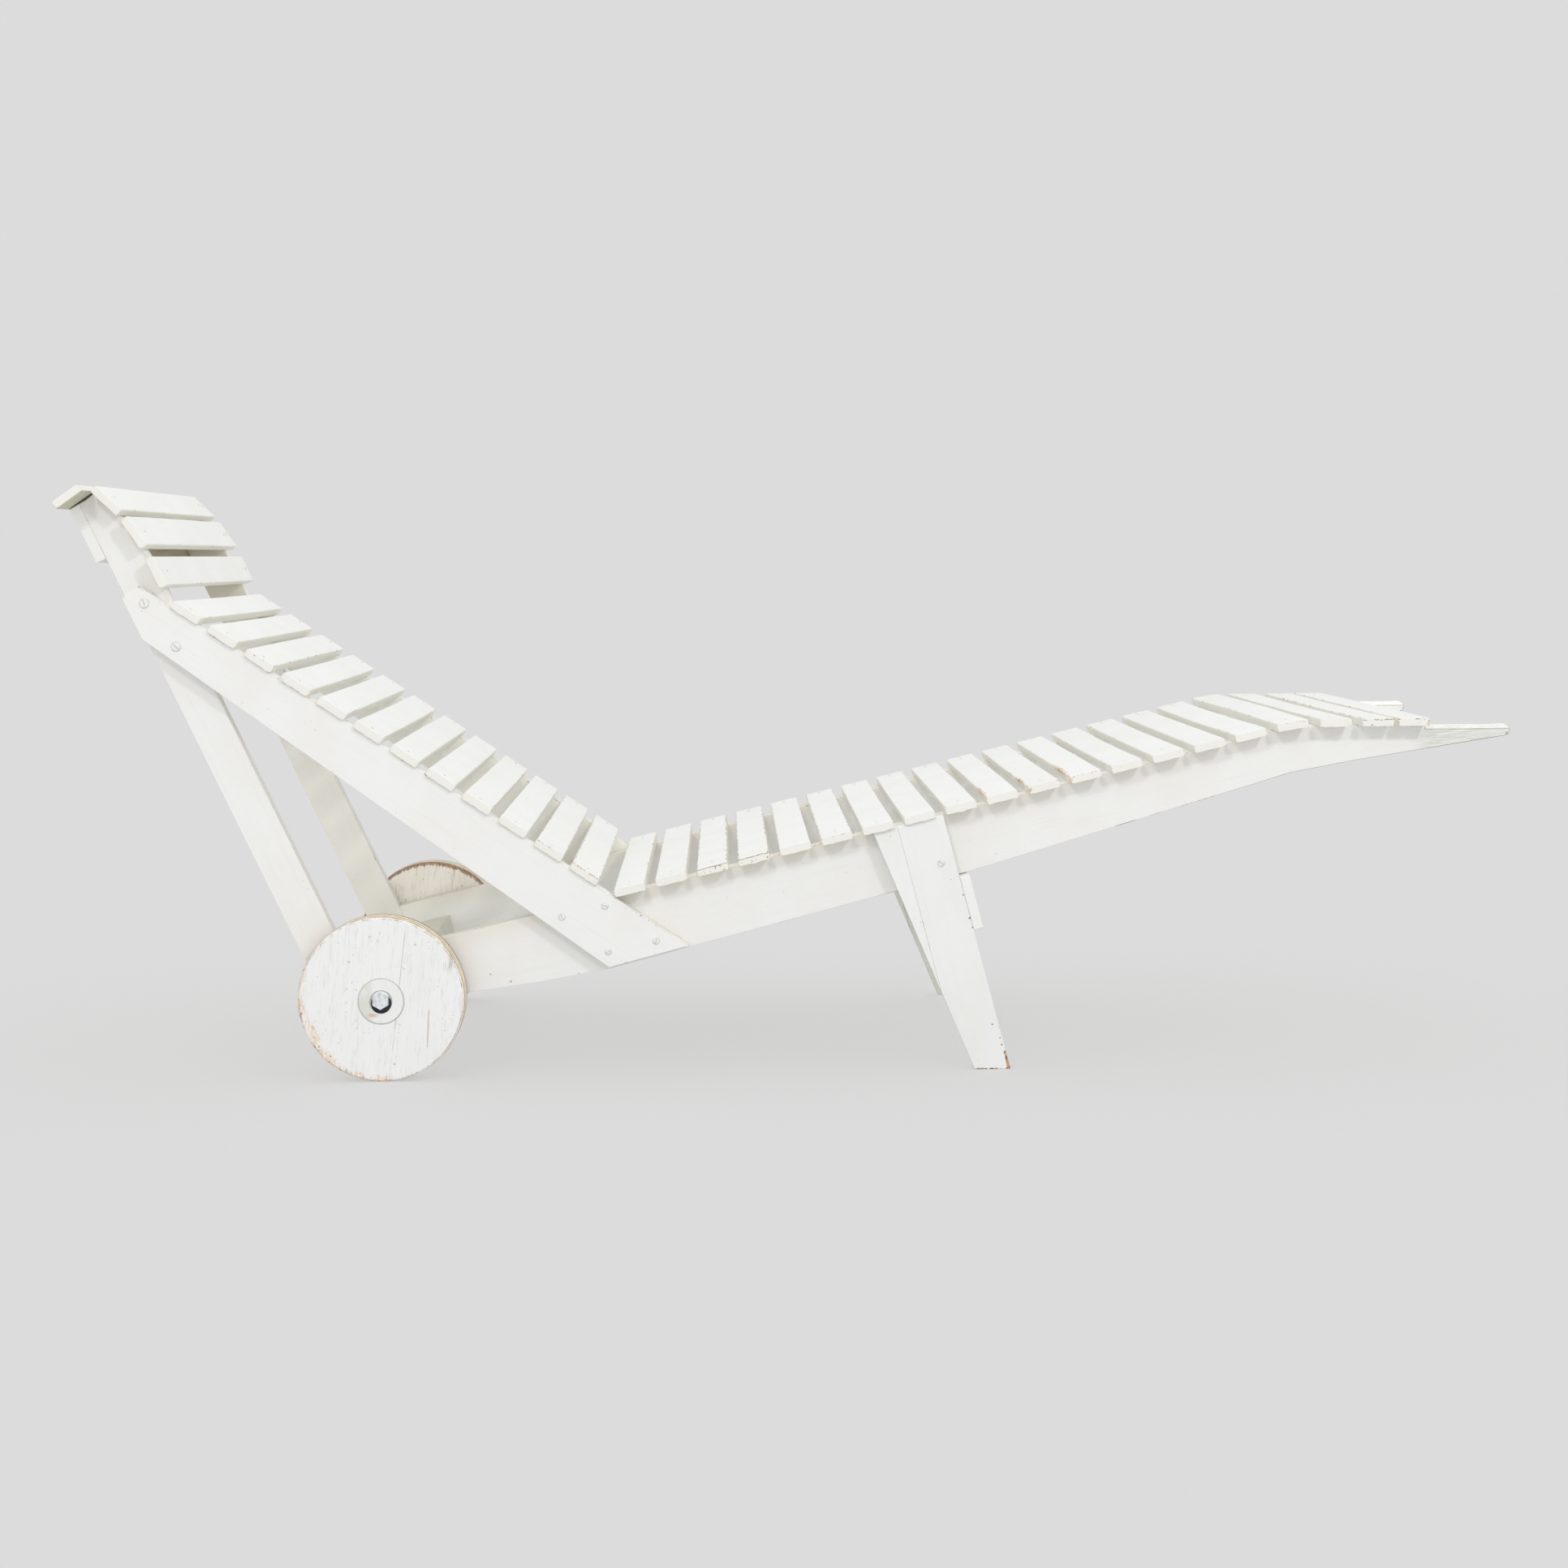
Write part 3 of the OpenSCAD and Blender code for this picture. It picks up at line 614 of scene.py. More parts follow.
# slats: planed battens with hand-rounded ends, each a little different; roundAbove is in degrees
slatShape = {
    "topEdge": 0.0019, "otherEdge": 0.0009, "endCorner": 0.0045,
    "capTopEdge": 0.0050, "capOtherEdge": 0.0038,
    "roundAbove": 38, "shortest": 0.003,
    "cuts": 22, "crossCuts": 6,
    "sideFrom": 0.3, "sideWave": 0.0006, "topWave": 0.0003,
    "endTrim": 0.0016, "endSkew": 0.0012, "endZone": 0.012, "endWave": 0.0007,
    "dripZone": 0.004, "dripBelow": 0.4, "dripFrom": 0.42, "dripWave": 0.0014,
    "bow": 0.0014, "bowEnd": 0.250,
}
widened = {"head_slat_01": (0.0, 0.0035), "head_slat_02": (0.0035, 0.0)}  # at the upper and the lower side
# how bare the top edge of a slat's ends is; slats that aren't named have sound ends
endWear = {
    "seat_slat_01": 0.25, "seat_slat_03": 1.0, "seat_slat_04": 0.9, "seat_slat_05": 0.1, "seat_slat_06": 0.55,
    "seat_slat_10": 0.15, "seat_slat_11": 0.25, "seat_slat_12": 0.3, "seat_slat_14": 0.2, "seat_slat_17": 0.35,
    "seat_slat_18": 0.3, "seat_slat_19": 0.7, "seat_slat_20": 0.5,
    "back_slat_03": 0.3, "back_slat_11": 0.4, "back_slat_12": 0.5, "cap_slat": 0.15,
}


def planedSlat(name, sizes, topEdge, otherEdge):
    # one batten at the origin, lying on its underside
    wide, long, thick = sizes
    sharp = math.radians(slatShape["roundAbove"])
    bpy.ops.object.select_all(action="DESELECT")
    bpy.ops.mesh.primitive_cube_add(size=1, location=(0, 0, thick / 2), scale=sizes)
    piece = bpy.context.active_object
    piece.name = name
    bpy.ops.object.transform_apply(location=True, rotation=True, scale=True)
    bpy.ops.object.mode_set(mode="EDIT")
    pick(piece, "verts", lambda v: v.co.z < thick / 2)
    bpy.ops.mesh.bevel(offset=slatShape["endCorner"], segments=4, affect="VERTICES", profile=0.5)
    pick(piece, "edges", lambda e: min(v.co.z for v in e.verts) > thick * 0.99
         and abs(e.verts[0].co.y - e.verts[1].co.y) > long / 2)
    roundEdges(topEdge, 3)
    pick(piece, "edges", lambda e: e.calc_face_angle(0.0) > sharp and e.calc_length() > slatShape["shortest"])
    roundEdges(otherEdge, 2)
    for cuts, size, way in ((slatShape["cuts"], long, Vector((0, 1, 0))),
                            (slatShape["crossCuts"], wide, Vector((1, 0, 0)))):
        for cut in range(1, cuts):
            bpy.ops.mesh.select_all(action="SELECT")
            bpy.ops.mesh.bisect(plane_co=way * (size * (cut / cuts - 0.5)), plane_no=way)
    bpy.ops.object.mode_set(mode="OBJECT")
    return piece


def layWornSlat(master, node, material):
    matrix, (wide, long, thick) = slatFrame(node)
    piece = bpy.data.objects.new("painted_" + node, master.data.copy())
    bpy.context.scene.collection.objects.link(piece)
    local = coordinates(piece)
    count = len(local)
    setAttribute(piece, "boardPlace", local[:, [1, 0, 2]])
    setAttribute(piece, "fromEnd", long / 2 - np.abs(local[:, 1]))
    setAttribute(piece, "endWear", np.full(count, endWear.get(node, 0.0)))
    # 1 on the cap slat, whose underside gets painted shade
    setAttribute(piece, "underDirt", np.full(count, float(node == "cap_slat")))
    ownWood(piece)
    start = seeds.uniform(0, 100)
    trims = [seeds.uniform(0, slatShape["endTrim"]) for _ in range(2)]
    skews = [seeds.uniform(-1, 1) * slatShape["endSkew"] for _ in range(2)]
    bow = seeds.uniform(-1, 1) * slatShape["bow"]
    upper, lower = widened.get(node, (0.0, 0.0))

    def wave(x, y, z):
        # from 0 to 1, by a place in the slat's own noise
        return 0.5 + 0.5 * noise.noise(Vector((start + x, y, z)))

    for vert, (x, y, z) in zip(piece.data.vertices, local.tolist()):
        right, far = int(x > 0), int(y > 0)
        newX, newY, newZ = x, y, z - z / thick * wave(60 + 30 * right, y * 11, 4) * slatShape["topWave"]
        if abs(x) > wide * slatShape["sideFrom"]:
            newX -= math.copysign(wave(30 * right, y * 14, 0) * slatShape["sideWave"], x)
        fromEnd = long / 2 - abs(y)
        if fromEnd < slatShape["endZone"]:
            trim = trims[far] + skews[far] * x / wide + wave(x * 160, 7 + 5 * far, z * 120) * slatShape["endWave"]
            newY -= math.copysign(max(0.0, trim), y)
        if fromEnd < slatShape["dripZone"] and z < thick * slatShape["dripBelow"]:
            drip = max(0.0, wave(x * 130, 20 + 5 * far, 0) - slatShape["dripFrom"])
            newZ -= drip * 2 * slatShape["dripWave"]
        newZ += bow * max(0.0, 1 - (y / slatShape["bowEnd"]) ** 2)
        newX += lower * (0.5 + x / wide) - upper * (0.5 - x / wide)
        vert.co = (newX, newY, newZ)
    piece.data.transform(matrix)
    softShade(piece)
    seat(piece, node, material)


# marks on slats: bare places along the upper edges, where distances along a slat count only by lengthShare, so
# that the marks are long, and knocked corners at the near ends; each is two places and a radius
slatMarks = {
    "lengthShare": 0.05,
    "edges": [(0.3672, -0.0103, 0.0040), (0.2555, -0.0120, 0.0028), (0.3112, -0.0104, 0.0022)],
    "corners": [(0.3115, -0.3085, 0.0042), (0.3675, -0.3085, 0.0034), (0.8524, -0.3085, 0.0034),
                (0.8106, -0.3085, 0.0018)],
    "bare": screen(232, 202, 168), "flecks": screen(160, 120, 88), "fleckLevel": (0.50, 0.62), "share": 0.9,
    "edgeDepth": (0.0030, 0.0060), "edgeSpecks": (0.34, 0.46), "cornerDepth": (0.0010, 0.0060),
}
# distances are from the surface or the end inwards
slatLook = {
    "sides": (screen(238, 235, 223), 0.7), "ends": (screen(239, 236, 228), 0.7),
    # the colour on the next line is painted shade on the cap slat's underside
    "capShade": screen(206, 203, 180),
    "skin": (0.0002, 0.0012), "endBelow": (0.001, 0.002),
    "fine": (60.0, 75.0, 60.0), "coarse": (55.0, 220.0, 220.0),
    "lineBelow": 0.0022, "lineWander": 0.004, "lineWide": (0.0002, 0.0008), "lineEnd": (0.0010, 0.0022),
    "lineLevel": (0.66, 0.72), "lineShare": 0.85,
    "pitEnd": (0.0008, 0.0020), "pitLevel": (0.76, 0.80), "pitShare": 0.7,
    "chipSide": (0.0008, 0.0024), "chipTop": (0.0006, 0.0024), "chipLevel": (0.63, 0.66), "chipShare": 0.7,
    "nailAlong": 0.291, "nailSize": (0.0021, 0.0033), "nailRagged": 0.001, "nailTop": (0.0004, 0.0008),
    "nailClouds": (0.34, 0.50), "nailDirt": (screen(150, 146, 138), 0.8), "nailNear": 0.3,
}
slatSizes = slatFrame("seat_slat_01")[1]


def slatDetail(recipe, coat):
    worn, fromEnd = recipe.attribute("endWear"), recipe.attribute("fromEnd")
    fine = recipe.noise(recipe.stretch(coat.place, slatLook["fine"]), 1.0, 3.0, 0.6)
    coarse = recipe.noise(recipe.stretch(coat.place, slatLook["coarse"]), 1.0, 3.0, 0.6)
    fromSide = slatSizes[0] / 2 - abs(coat.across)
    fromTop = slatSizes[2] - coat.outward

    # creamy sides and ends, and painted shade on the cap slat's underside
    side = recipe.fade(fromSide, *slatLook["skin"])
    below = recipe.fade(coat.outward, *slatLook["skin"])
    end = recipe.fade(fromEnd, *slatLook["skin"]) * recipe.ramp(fromTop, *slatLook["endBelow"])
    coat.tint(side.most(below), *slatLook["sides"])
    coat.tint(end, *slatLook["ends"])
    coat.tint(below * recipe.attribute("underDirt"), slatLook["capShade"])

    # a thin broken line of bare wood along the top edge of worn ends, and small chips along the long top edges
    wander = (fine - 0.5) * slatLook["lineWander"]
    line = recipe.fade(abs(fromTop - slatLook["lineBelow"] + wander), *slatLook["lineWide"])
    line = line * recipe.fade(fromEnd, *slatLook["lineEnd"])
    line = line * recipe.ramp(coarse * 0.4 + fine * 0.6 + worn * 0.30, *slatLook["lineLevel"])
    pits = recipe.fade(fromEnd, *slatLook["pitEnd"]) * recipe.ramp(coat.speck + worn * 0.12, *slatLook["pitLevel"])
    atSide = recipe.fade(fromSide, *slatLook["chipSide"]) * recipe.fade(fromTop, *slatLook["chipTop"])
    sideChips = atSide * recipe.ramp(coarse + worn * 0.12, *slatLook["chipLevel"])
    for chips, share in ((line, "lineShare"), (sideChips, "chipShare"), (pits, "pitShare")):
        coat.chips = coat.chips.most(chips * slatLook[share])

    # rubbed edges and knocked corners
    x, y, _ = recipe.split(recipe.objectPlace())
    ragged = (coat.speck - 0.5) * 2.0 + (coarse - 0.5) * 3.0
    rubbed = recipe.spots(x, y * slatMarks["lengthShare"], slatMarks["edges"], ragged)
    rubbed = rubbed * recipe.fade(fromTop, *slatMarks["edgeDepth"])
    rubbed = rubbed * recipe.ramp(coat.speck, *slatMarks["edgeSpecks"])
    knocked = recipe.spots(x, y, slatMarks["corners"], ragged) * recipe.ramp(fromTop, *slatMarks["cornerDepth"])
    bare = recipe.mix(recipe.ramp(fine, *slatMarks["fleckLevel"]), slatMarks["bare"], slatMarks["flecks"])
    coat.tint(rubbed.most(knocked), bare, slatMarks["share"])

    # dirt over the sunk nails, less at the near ends
    nail = distance(coat.across, abs(coat.along) - slatLook["nailAlong"])
    sunk = recipe.fade(nail + (coat.speck - 0.5) * slatLook["nailRagged"], *slatLook["nailSize"])
    sunk = sunk * recipe.fade(fromTop, *slatLook["nailTop"]) * recipe.ramp(coat.cloud, *slatLook["nailClouds"])
    nearer = slatLook["nailNear"] + (1 - slatLook["nailNear"]) * recipe.ramp(coat.along, -0.01, 0.01)
    coat.tint(sunk * nearer, *slatLook["nailDirt"])


slatPaint = paintedWood("slat_paint", {
    "light": screen(243, 244, 241), "warm": screen(240, 241, 237), "lineShare": 0.12, "streaks": (9.0, 160.0, 160.0),
}, slatDetail)
master = planedSlat("slat_master", slatSizes, slatShape["topEdge"], slatShape["otherEdge"])
capMaster = planedSlat("cap_master", slatFrame("cap_slat")[1], slatShape["capTopEdge"], slatShape["capOtherEdge"])
for node in sorted(n for n in nodes if "_slat_" in n):
    layWornSlat(master, node, slatPaint)
layWornSlat(capMaster, "cap_slat", slatPaint)
for spare in (master, capMaster):
    bpy.data.objects.remove(spare)
print("slats laid")


# wheels: solid discs with bare, split rims; places on them are counted from the axle, along and across the grain
wheelLow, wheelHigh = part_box("wheel_right")
axle = ((wheelLow.x + wheelHigh.x) / 2, (wheelLow.z + wheelHigh.z) / 2)
wheelRadius = (wheelHigh.z - wheelLow.z) / 2
wheelShape = {"edge": 0.0009, "grain": 85.3}
wheelWear = {
    "streaks": (40.0, 420.0, 60.0), "blotches": 34.0,
    "orange": screen(239, 214, 186), "orangeRim": (0.030, 0.001), "lowerLeft": (0.02, 0.16),
    "orangeLevel": (0.78, 0.96), "orangeStreaks": (0.40, 0.60),
    "brushed": (screen(200, 198, 194), 0.30), "brushLevel": (0.54, 0.70),
    "rim": (screen(244, 234, 208), 0.9), "rimZone": (0.0014, 0.0004),
    "layers": [0.0335, 0.0215, 0.0080],  # of the wood on the rim, from the inner face
    "layer": (screen(164, 130, 92), 0.85), "layerWide": (0.0010, 0.0028), "layerPatches": (0.34, 0.50),
    "wander": 0.006,
    "jointPlace": -0.0222, "jointTilt": 0.046, "joint": (screen(176, 172, 162), 0.5),
    "jointWide": (0.0002, 0.0009), "jointPatches": (0.40, 0.54),
    "crackPlace": -0.0645, "crackLong": (-0.0600, -0.0100, 0.004), "crack": (screen(200, 178, 146), 0.7),
    "crackWide": (0.0003, 0.0012), "crackPatches": (0.36, 0.46),
    "scuffPlace": (0.0588, -0.0861), "scuffSize": (0.005, 0.013), "scuff": (screen(160, 157, 150), 0.5),
    "scuffStreaks": (0.46, 0.60),
    "dents": [(0.0840, 0.0204, 0.0015), (0.0484, 0.0458, 0.0018), (0.0774, -0.0408, 0.0019),
              (0.0265, 0.0035, 0.0016), (-0.0859, -0.0227, 0.0018)],
    "dent": (screen(170, 168, 162), 0.5),
    # seam is the painted shadow line that the ring's edge casts on the wheel's face, round a middle ringDrop under
    # the axle
    "ring": 0.0306, "ringDrop": 0.002, "seam": (screen(150, 148, 142), 0.5), "seamWide": (0.0003, 0.0014),
    "rust": (screen(222, 178, 140), 0.4), "rustLevel": (0.80, 0.92),
    "innerRim": (0.016, 0.001), "innerLevel": (0.70, 0.78), "innerShare": 0.85,
    "innerDark": screen(110, 74, 46), "innerBare": screen(190, 134, 86), "innerSpecks": (0.45, 0.60),
    "chipLevel": (0.86, 0.92),
    # hubDark, hubDrop and the colour after them paint the shade of the hole behind each bolt
    "hubDark": (0.0134, 0.0142), "hubDrop": 0.0046, "holeShade": screen(46, 48, 58),
}


def hubShade(recipe):
    # painted shade: the dark round hole that shows behind each bolt, a little under its middle, drawn as colour on
    # the wheel, ring and flange
    x, _, z = recipe.split(recipe.objectPlace())
    return recipe.fade(distance(x - axle[0], z - (axle[1] - wheelWear["hubDrop"])), *wheelWear["hubDark"])


def wheelDetail(recipe, coat):
    along, across = coat.along, coat.across
    radial = distance(along, across)
    streak = recipe.noise(recipe.stretch(coat.place, wheelWear["streaks"]), 1.0, 3.0, 0.65)

    # thin paint near the rim, most at the lower left, and brushed lines
    lowerLeft = recipe.ramp(across - along, *wheelWear["lowerLeft"])
    nearRim = recipe.ramp(radial, *under(wheelRadius, wheelWear["orangeRim"]))
    worn = recipe.noise(coat.place, wheelWear["blotches"], 3.0, 0.6)
    thin = nearRim * 0.30 + lowerLeft * nearRim * 0.20 + streak * 0.35 + worn * 0.55
    thin = recipe.ramp(thin, *wheelWear["orangeLevel"])
    coat.tint(thin * (0.15 + recipe.ramp(streak, *wheelWear["orangeStreaks"]) * 0.8), wheelWear["orange"])
    brush = recipe.ramp(streak, *wheelWear["brushLevel"])
    coat.tint(brush, *wheelWear["brushed"])

    # the rim, with its layers of wood
    rim = recipe.ramp(radial, *under(wheelRadius, wheelWear["rimZone"]))
    coat.tint(rim, *wheelWear["rim"])
    wander = (coat.cloud - 0.5) * wheelWear["wander"]
    for layer in wheelWear["layers"]:
        line = recipe.fade(abs(coat.outward + wander - layer), *wheelWear["layerWide"])
        coat.tint(line * rim * recipe.ramp(coat.patch, *wheelWear["layerPatches"]), *wheelWear["layer"])

    # the joint between two boards, a crack beside it, a scuff and dents
    joint = abs(across - wheelWear["jointPlace"] + along * wheelWear["jointTilt"])
    joint = recipe.fade(joint, *wheelWear["jointWide"])
    coat.tint(joint * recipe.ramp(coat.patch, *wheelWear["jointPatches"]), *wheelWear["joint"])
    crack = recipe.fade(abs(across - wheelWear["crackPlace"] + wander), *wheelWear["crackWide"])
    crack = crack * recipe.between(along, *wheelWear["crackLong"])
    crack = crack * recipe.ramp(coat.patch, *wheelWear["crackPatches"])
    coat.tint(crack, *wheelWear["crack"])
    da, dc = along - wheelWear["scuffPlace"][0], across - wheelWear["scuffPlace"][1]
    scuff = recipe.fade((da * da * 0.4 + dc * dc).root(), *wheelWear["scuffSize"])
    coat.tint(scuff * recipe.ramp(streak, *wheelWear["scuffStreaks"]), *wheelWear["scuff"])
    dents = recipe.spots(along, across, wheelWear["dents"], coat.speck - 0.5)
    coat.tint(dents, *wheelWear["dent"])

    # a painted shadow line round the ring, and rust and a dark, bare rim on the inner face
    fromHub = distance(along + wheelWear["ringDrop"], across)
    coat.tint(recipe.fade(abs(fromHub - wheelWear["ring"]), *wheelWear["seamWide"]), *wheelWear["seam"])
    rust = recipe.ramp(streak + coat.cloud * 0.5, *wheelWear["rustLevel"])
    coat.tint(coat.inward * rust, *wheelWear["rust"])
    dark = recipe.ramp(radial, *under(wheelRadius, wheelWear["innerRim"]))
    innerRim = recipe.ramp(dark * 0.5 + streak * 0.4 + coat.patch * 0.25, *wheelWear["innerLevel"])
    inner = recipe.mix(
        recipe.ramp(coat.speck, *wheelWear["innerSpecks"]), wheelWear["innerDark"], wheelWear["innerBare"])
    coat.tint(coat.inward * dark * innerRim, inner, wheelWear["innerShare"])
    # painted shade of the hole behind the bolt
    coat.tint(hubShade(recipe), wheelWear["holeShade"])

    specks = thin * recipe.ramp(coat.speck + coat.patch * 0.5, *wheelWear["chipLevel"])
    rimChips = recipe.ramp(nearRim * 0.22 + coat.wear * 0.30 + coat.patch * 0.8, *wheelWear["chipLevel"])
    coat.chips = (specks * 0.6).most(rimChips * 0.7)
    coat.height = coat.height + brush * 0.3 - joint * 0.6 - crack * 0.9 - dents * 0.6


ringShape = {"edge": 0.0006, "grain": 90}
ringMarks = {
    "stainPlace": (-0.0205, 0.0115), "stainSize": (0.001, 0.012), "stainRagged": 0.014,
    "stain": (screen(222, 168, 124), 0.7),
    "dirt": (screen(196, 196, 174), 0.45), "dirtFrom": (0.006, 0.022), "dirtPatches": (0.85, 1.05),
    # edge is painted shade on the ring's lower right edge
    "edge": (screen(140, 140, 136), 0.5), "edgeFrom": (-0.02, 0.02),
}


def ringDetail(recipe, coat):
    # rust that has run down from the bolt, dirt beside it and painted shade along the lower edge
    da, dc = coat.along - ringMarks["stainPlace"][0], coat.across - ringMarks["stainPlace"][1]
    ragged = (coat.patch - 0.5) * ringMarks["stainRagged"]
    stain = recipe.fade((da * da * 6.0 + dc * dc).root() + ragged, *ringMarks["stainSize"])
    coat.tint(stain, *ringMarks["stain"])
    left = recipe.ramp(coat.across, *ringMarks["dirtFrom"])
    coat.tint(left * recipe.ramp(coat.cloud + coat.patch, *ringMarks["dirtPatches"]), *ringMarks["dirt"])
    edge = coat.wear * recipe.ramp(0 - coat.across - coat.along, *ringMarks["edgeFrom"])
    coat.tint(edge, *ringMarks["edge"])
    # painted shade of the hole behind the bolt
    coat.tint(hubShade(recipe), wheelWear["holeShade"])


# the wheel's inside colour is painted light on its inner face, with a warmer tone
wheelPaint = paintedWood("wheel_paint", {
    "light": screen(243, 243, 243), "warm": screen(241, 241, 239), "insideShare": 0.9,
    "inside": screen(250, 245, 234), "bare": screen(206, 160, 118), "dark": screen(112, 80, 56),
    "lineShare": 0.3, "streaks": (12.0, 220.0, 220.0), "dentLevel": (0.66, 0.70),
}, wheelDetail)
ringPaint = paintedWood("ring_paint", {
    "light": screen(241, 242, 240), "warm": screen(238, 238, 234), "chipLevel": (1.25, 1.30)}, ringDetail)
for side in ("right", "left"):
    wornBoard("wheel_" + side, wheelShape, wheelPaint, lambda p: boardPlaces(p, wheelShape["grain"], axle))
    wornBoard("wheel_ring_" + side, ringShape, ringPaint, lambda p: boardPlaces(p, ringShape["grain"], axle))
print("wheels made")


# bolts with rounded corners; under each head lies the painted shade of its dark hole and the painted edge of its
# flange
boltShape = {
    "edge": 0.0006, "flangeTop": (0.3261, 0.3264),  # flangeTop is away from the middle plane
    "zinc": screen(240, 243, 245), "dull": screen(212, 216, 220), "dullLevel": (0.42, 0.66),
    "flange": screen(232, 232, 228),
    "rough": 0.34, "metal": 0.5, "relief": 0.00004,
}
# small fittings keep their CAD shapes; slot is away from the middle plane, from the bottom of a screw's slot up
fittingLook = {"darkLevel": (0.40, 0.65), "relief": 0.00005}
fittings = {
    "dull_steel": {
        "nodes": ["spacer_washers", "wheel_bush_right", "wheel_bush_left"],
        "light": screen(120, 118, 114), "dark": screen(70, 66, 62), "rough": 0.5, "metal": 0.8},
    "painted_screws": {
        "nodes": ["post_screws", "frame_screws"],
        "light": screen(240, 240, 237), "dark": screen(232, 230, 224), "rough": 0.45, "metal": 0.0,
        "dirt": screen(150, 146, 136), "dirtShare": 0.25, "slot": (0.3043, 0.3050)},
    "painted_nails": {
        "nodes": ["slat_nails"],
        "light": screen(231, 229, 223), "dark": screen(184, 178, 166), "rough": 0.5, "metal": 0.0},
}


def metalNoises(recipe, place):
    # fine grit and broader stains
    return recipe.noise(place, 900.0, 3.0), recipe.noise(place, 160.0, 3.0)


def zincMaterial():
    recipe = newMaterial("zinc")
    place = recipe.objectPlace()
    grit, stain = metalNoises(recipe, place)
    flange = recipe.fade(abs(recipe.split(place)[1]), *boltShape["flangeTop"])
    colour = recipe.mix(recipe.ramp(stain, *boltShape["dullLevel"]), boltShape["zinc"], boltShape["dull"])
    # the flange is painted white, and dark with the painted shade of the hole behind it
    colour = recipe.mix(flange, colour, recipe.mix(hubShade(recipe), boltShape["flange"], wheelWear["holeShade"]))
    rough = boltShape["rough"] + grit * 0.15 + flange * 0.2
    return recipe.surface(colour, rough, grit, boltShape["relief"], boltShape["metal"] * (1 - flange))


def wornFinish(name, settings):
    recipe = newMaterial(name)
    place = recipe.objectPlace()
    grit, stain = metalNoises(recipe, place)
    colour = recipe.mix(recipe.ramp(stain, *fittingLook["darkLevel"]), settings["light"], settings["dark"])
    if "dirt" in settings:
        # round the screw heads and in their slots
        deep = recipe.fade(abs(recipe.split(place)[1]), *settings["slot"])
        colour = recipe.mix(deep * settings["dirtShare"], colour, settings["dirt"])
    rough = settings["rough"] + grit * 0.2
    return recipe.surface(colour, rough, grit, fittingLook["relief"], settings["metal"])


wornBoard("axle_bolts", boltShape, zincMaterial(), lambda p: boardPlaces(p, 0.0, axle))
for name, settings in fittings.items():
    material = wornFinish(name, settings)
    for node in settings["nodes"]:
        nodes[node].data.materials.clear()
        nodes[node].data.materials.append(material)
print("metal finished")


# studio: floor and backdrop of one grey, a pale sky, two lamps in front, a low wide one between them, one above
# and one for the pieces of the far side only, which the near side keeps dark
studio = {
    "grey": screen(220, 220, 220),
    "floorHalf": 60.0, "floorBelow": 0.0002,
    "floorShadow": 0.33,
    "floorBounce": 0.92,
    "skyLight": 0.80,
    "lamps": [
        {"place": (1.7, -3.5, 2.65), "aim": (0.2, 0.0, 0.3), "size": 0.40, "power": 29.0},
        {"place": (-1.1, -3.5, 2.65), "aim": (-0.2, 0.0, 0.3), "size": 0.40, "power": 20.0},
        {"place": (0.0, -5.0, 0.5), "aim": (0.0, 0.0, 0.4), "size": 2.4, "power": 4.0},
        {"place": (0.0, -0.3, 3.6), "aim": (0.0, 0.0, 0.4), "size": 1.6, "power": 15.5},
        {"place": (0.0, -5.0, 0.6), "aim": (0.0, 0.0, 0.3), "size": 2.4, "power": 95.0, "only": "_left"},
    ],
}


def seenDirectly(recipe):
    # 1 for what the camera sees, itself or in a reflection or through glass
    made = recipe.node("ShaderNodeLightPath").socket.node
    camera, glossy, through = (
        Signal(recipe, made.outputs[n]) for n in ("Is Camera Ray", "Is Glossy Ray", "Is Transmission Ray"))
    return camera.most(glossy).most(through)


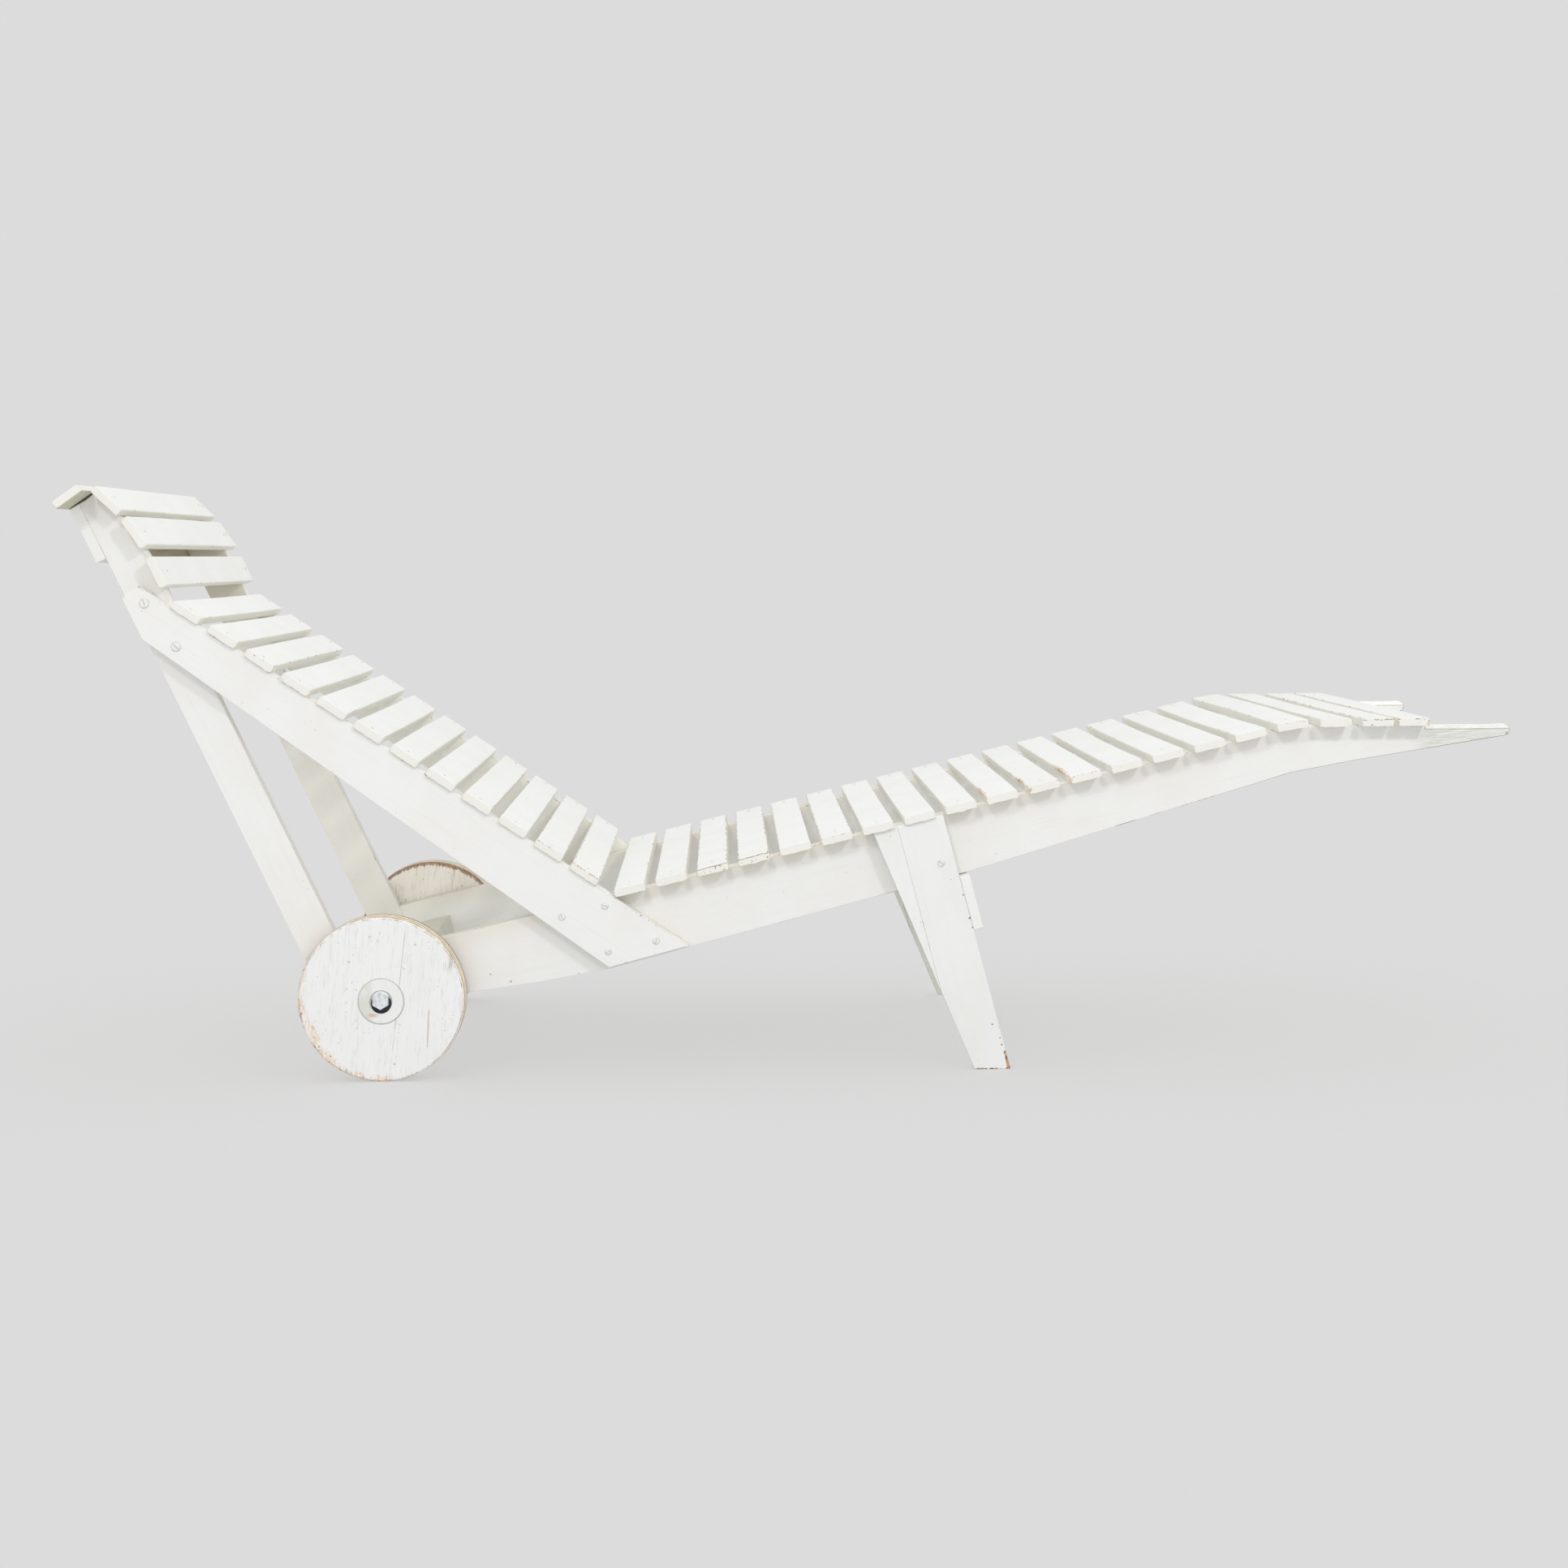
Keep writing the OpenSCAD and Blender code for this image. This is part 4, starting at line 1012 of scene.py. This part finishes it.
bpy.ops.object.select_all(action="DESELECT")
bpy.ops.mesh.primitive_plane_add(size=studio["floorHalf"] * 2, location=(0, 0, -studio["floorBelow"]))
floor = bpy.context.active_object
floor.name = "floor"
bpy.ops.object.transform_apply(location=True, rotation=True, scale=True)
recipe = newMaterial("studio_floor")
floorGrey = tuple(c / studio["skyLight"] for c in studio["grey"][:3]) + (1.0,)  # renders as grey under that sky
bounce = (studio["floorBounce"],) * 3 + (1.0,)
matt = recipe.node("ShaderNodeBsdfDiffuse", sockets={"Color": recipe.mix(seenDirectly(recipe), bounce, floorGrey)})
glow = recipe.node("ShaderNodeEmission", sockets={"Color": studio["grey"], "Strength": 1.0})
share = seenDirectly(recipe) * (1 - studio["floorShadow"])
recipe.node("ShaderNodeOutputMaterial", sockets={"Surface": recipe.node(
    "ShaderNodeMixShader", sockets={0: share, 1: matt, 2: glow})})
floor.data.materials.append(recipe.owner)
floor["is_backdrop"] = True

world = bpy.data.worlds.new("studio")
bpy.context.scene.world = world
recipe = Recipe(world)
sky = recipe.node("ShaderNodeBackground", sockets={"Color": (1, 1, 1, 1), "Strength": studio["skyLight"]})
backdrop = recipe.node("ShaderNodeBackground", sockets={"Color": studio["grey"], "Strength": 1.0})
recipe.node("ShaderNodeOutputWorld", sockets={"Surface": recipe.node(
    "ShaderNodeMixShader", sockets={0: seenDirectly(recipe), 1: sky, 2: backdrop})})

for settings in studio["lamps"]:
    litPieces = bpy.data.collections.new("lit_pieces")
    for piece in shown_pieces():
        if settings.get("only", "") in piece.name:
            litPieces.objects.link(piece)
    lamp = bpy.data.lights.new("soft_lamp", "AREA")
    lamp.energy, lamp.size = settings["power"], settings["size"]
    holder = bpy.data.objects.new("soft_lamp", lamp)
    bpy.context.scene.collection.objects.link(holder)
    holder.location = settings["place"]
    aim = Vector(settings["aim"]) - Vector(settings["place"])
    holder.rotation_euler = aim.to_track_quat("-Z", "Y").to_euler()
    holder.light_linking.receiver_collection = litPieces

# camera, at the photograph's place; the turn is in degrees
view = {
    "place": (-0.09606908, -3.66723582, 0.69883982),
    "turn": (84.80664131, 0.6422575, -1.39789226),
    "lens": 57.764,
    "sensor": 36.0,
}
camera = bpy.data.objects.new("camera", bpy.data.cameras.new("camera"))
bpy.context.scene.collection.objects.link(camera)
camera.location = view["place"]
camera.rotation_euler = [math.radians(a) for a in view["turn"]]
camera.data.lens, camera.data.sensor_width = view["lens"], view["sensor"]
bpy.context.scene.camera = camera
bpy.context.scene.view_settings.view_transform = "Standard"
print("studio lit")
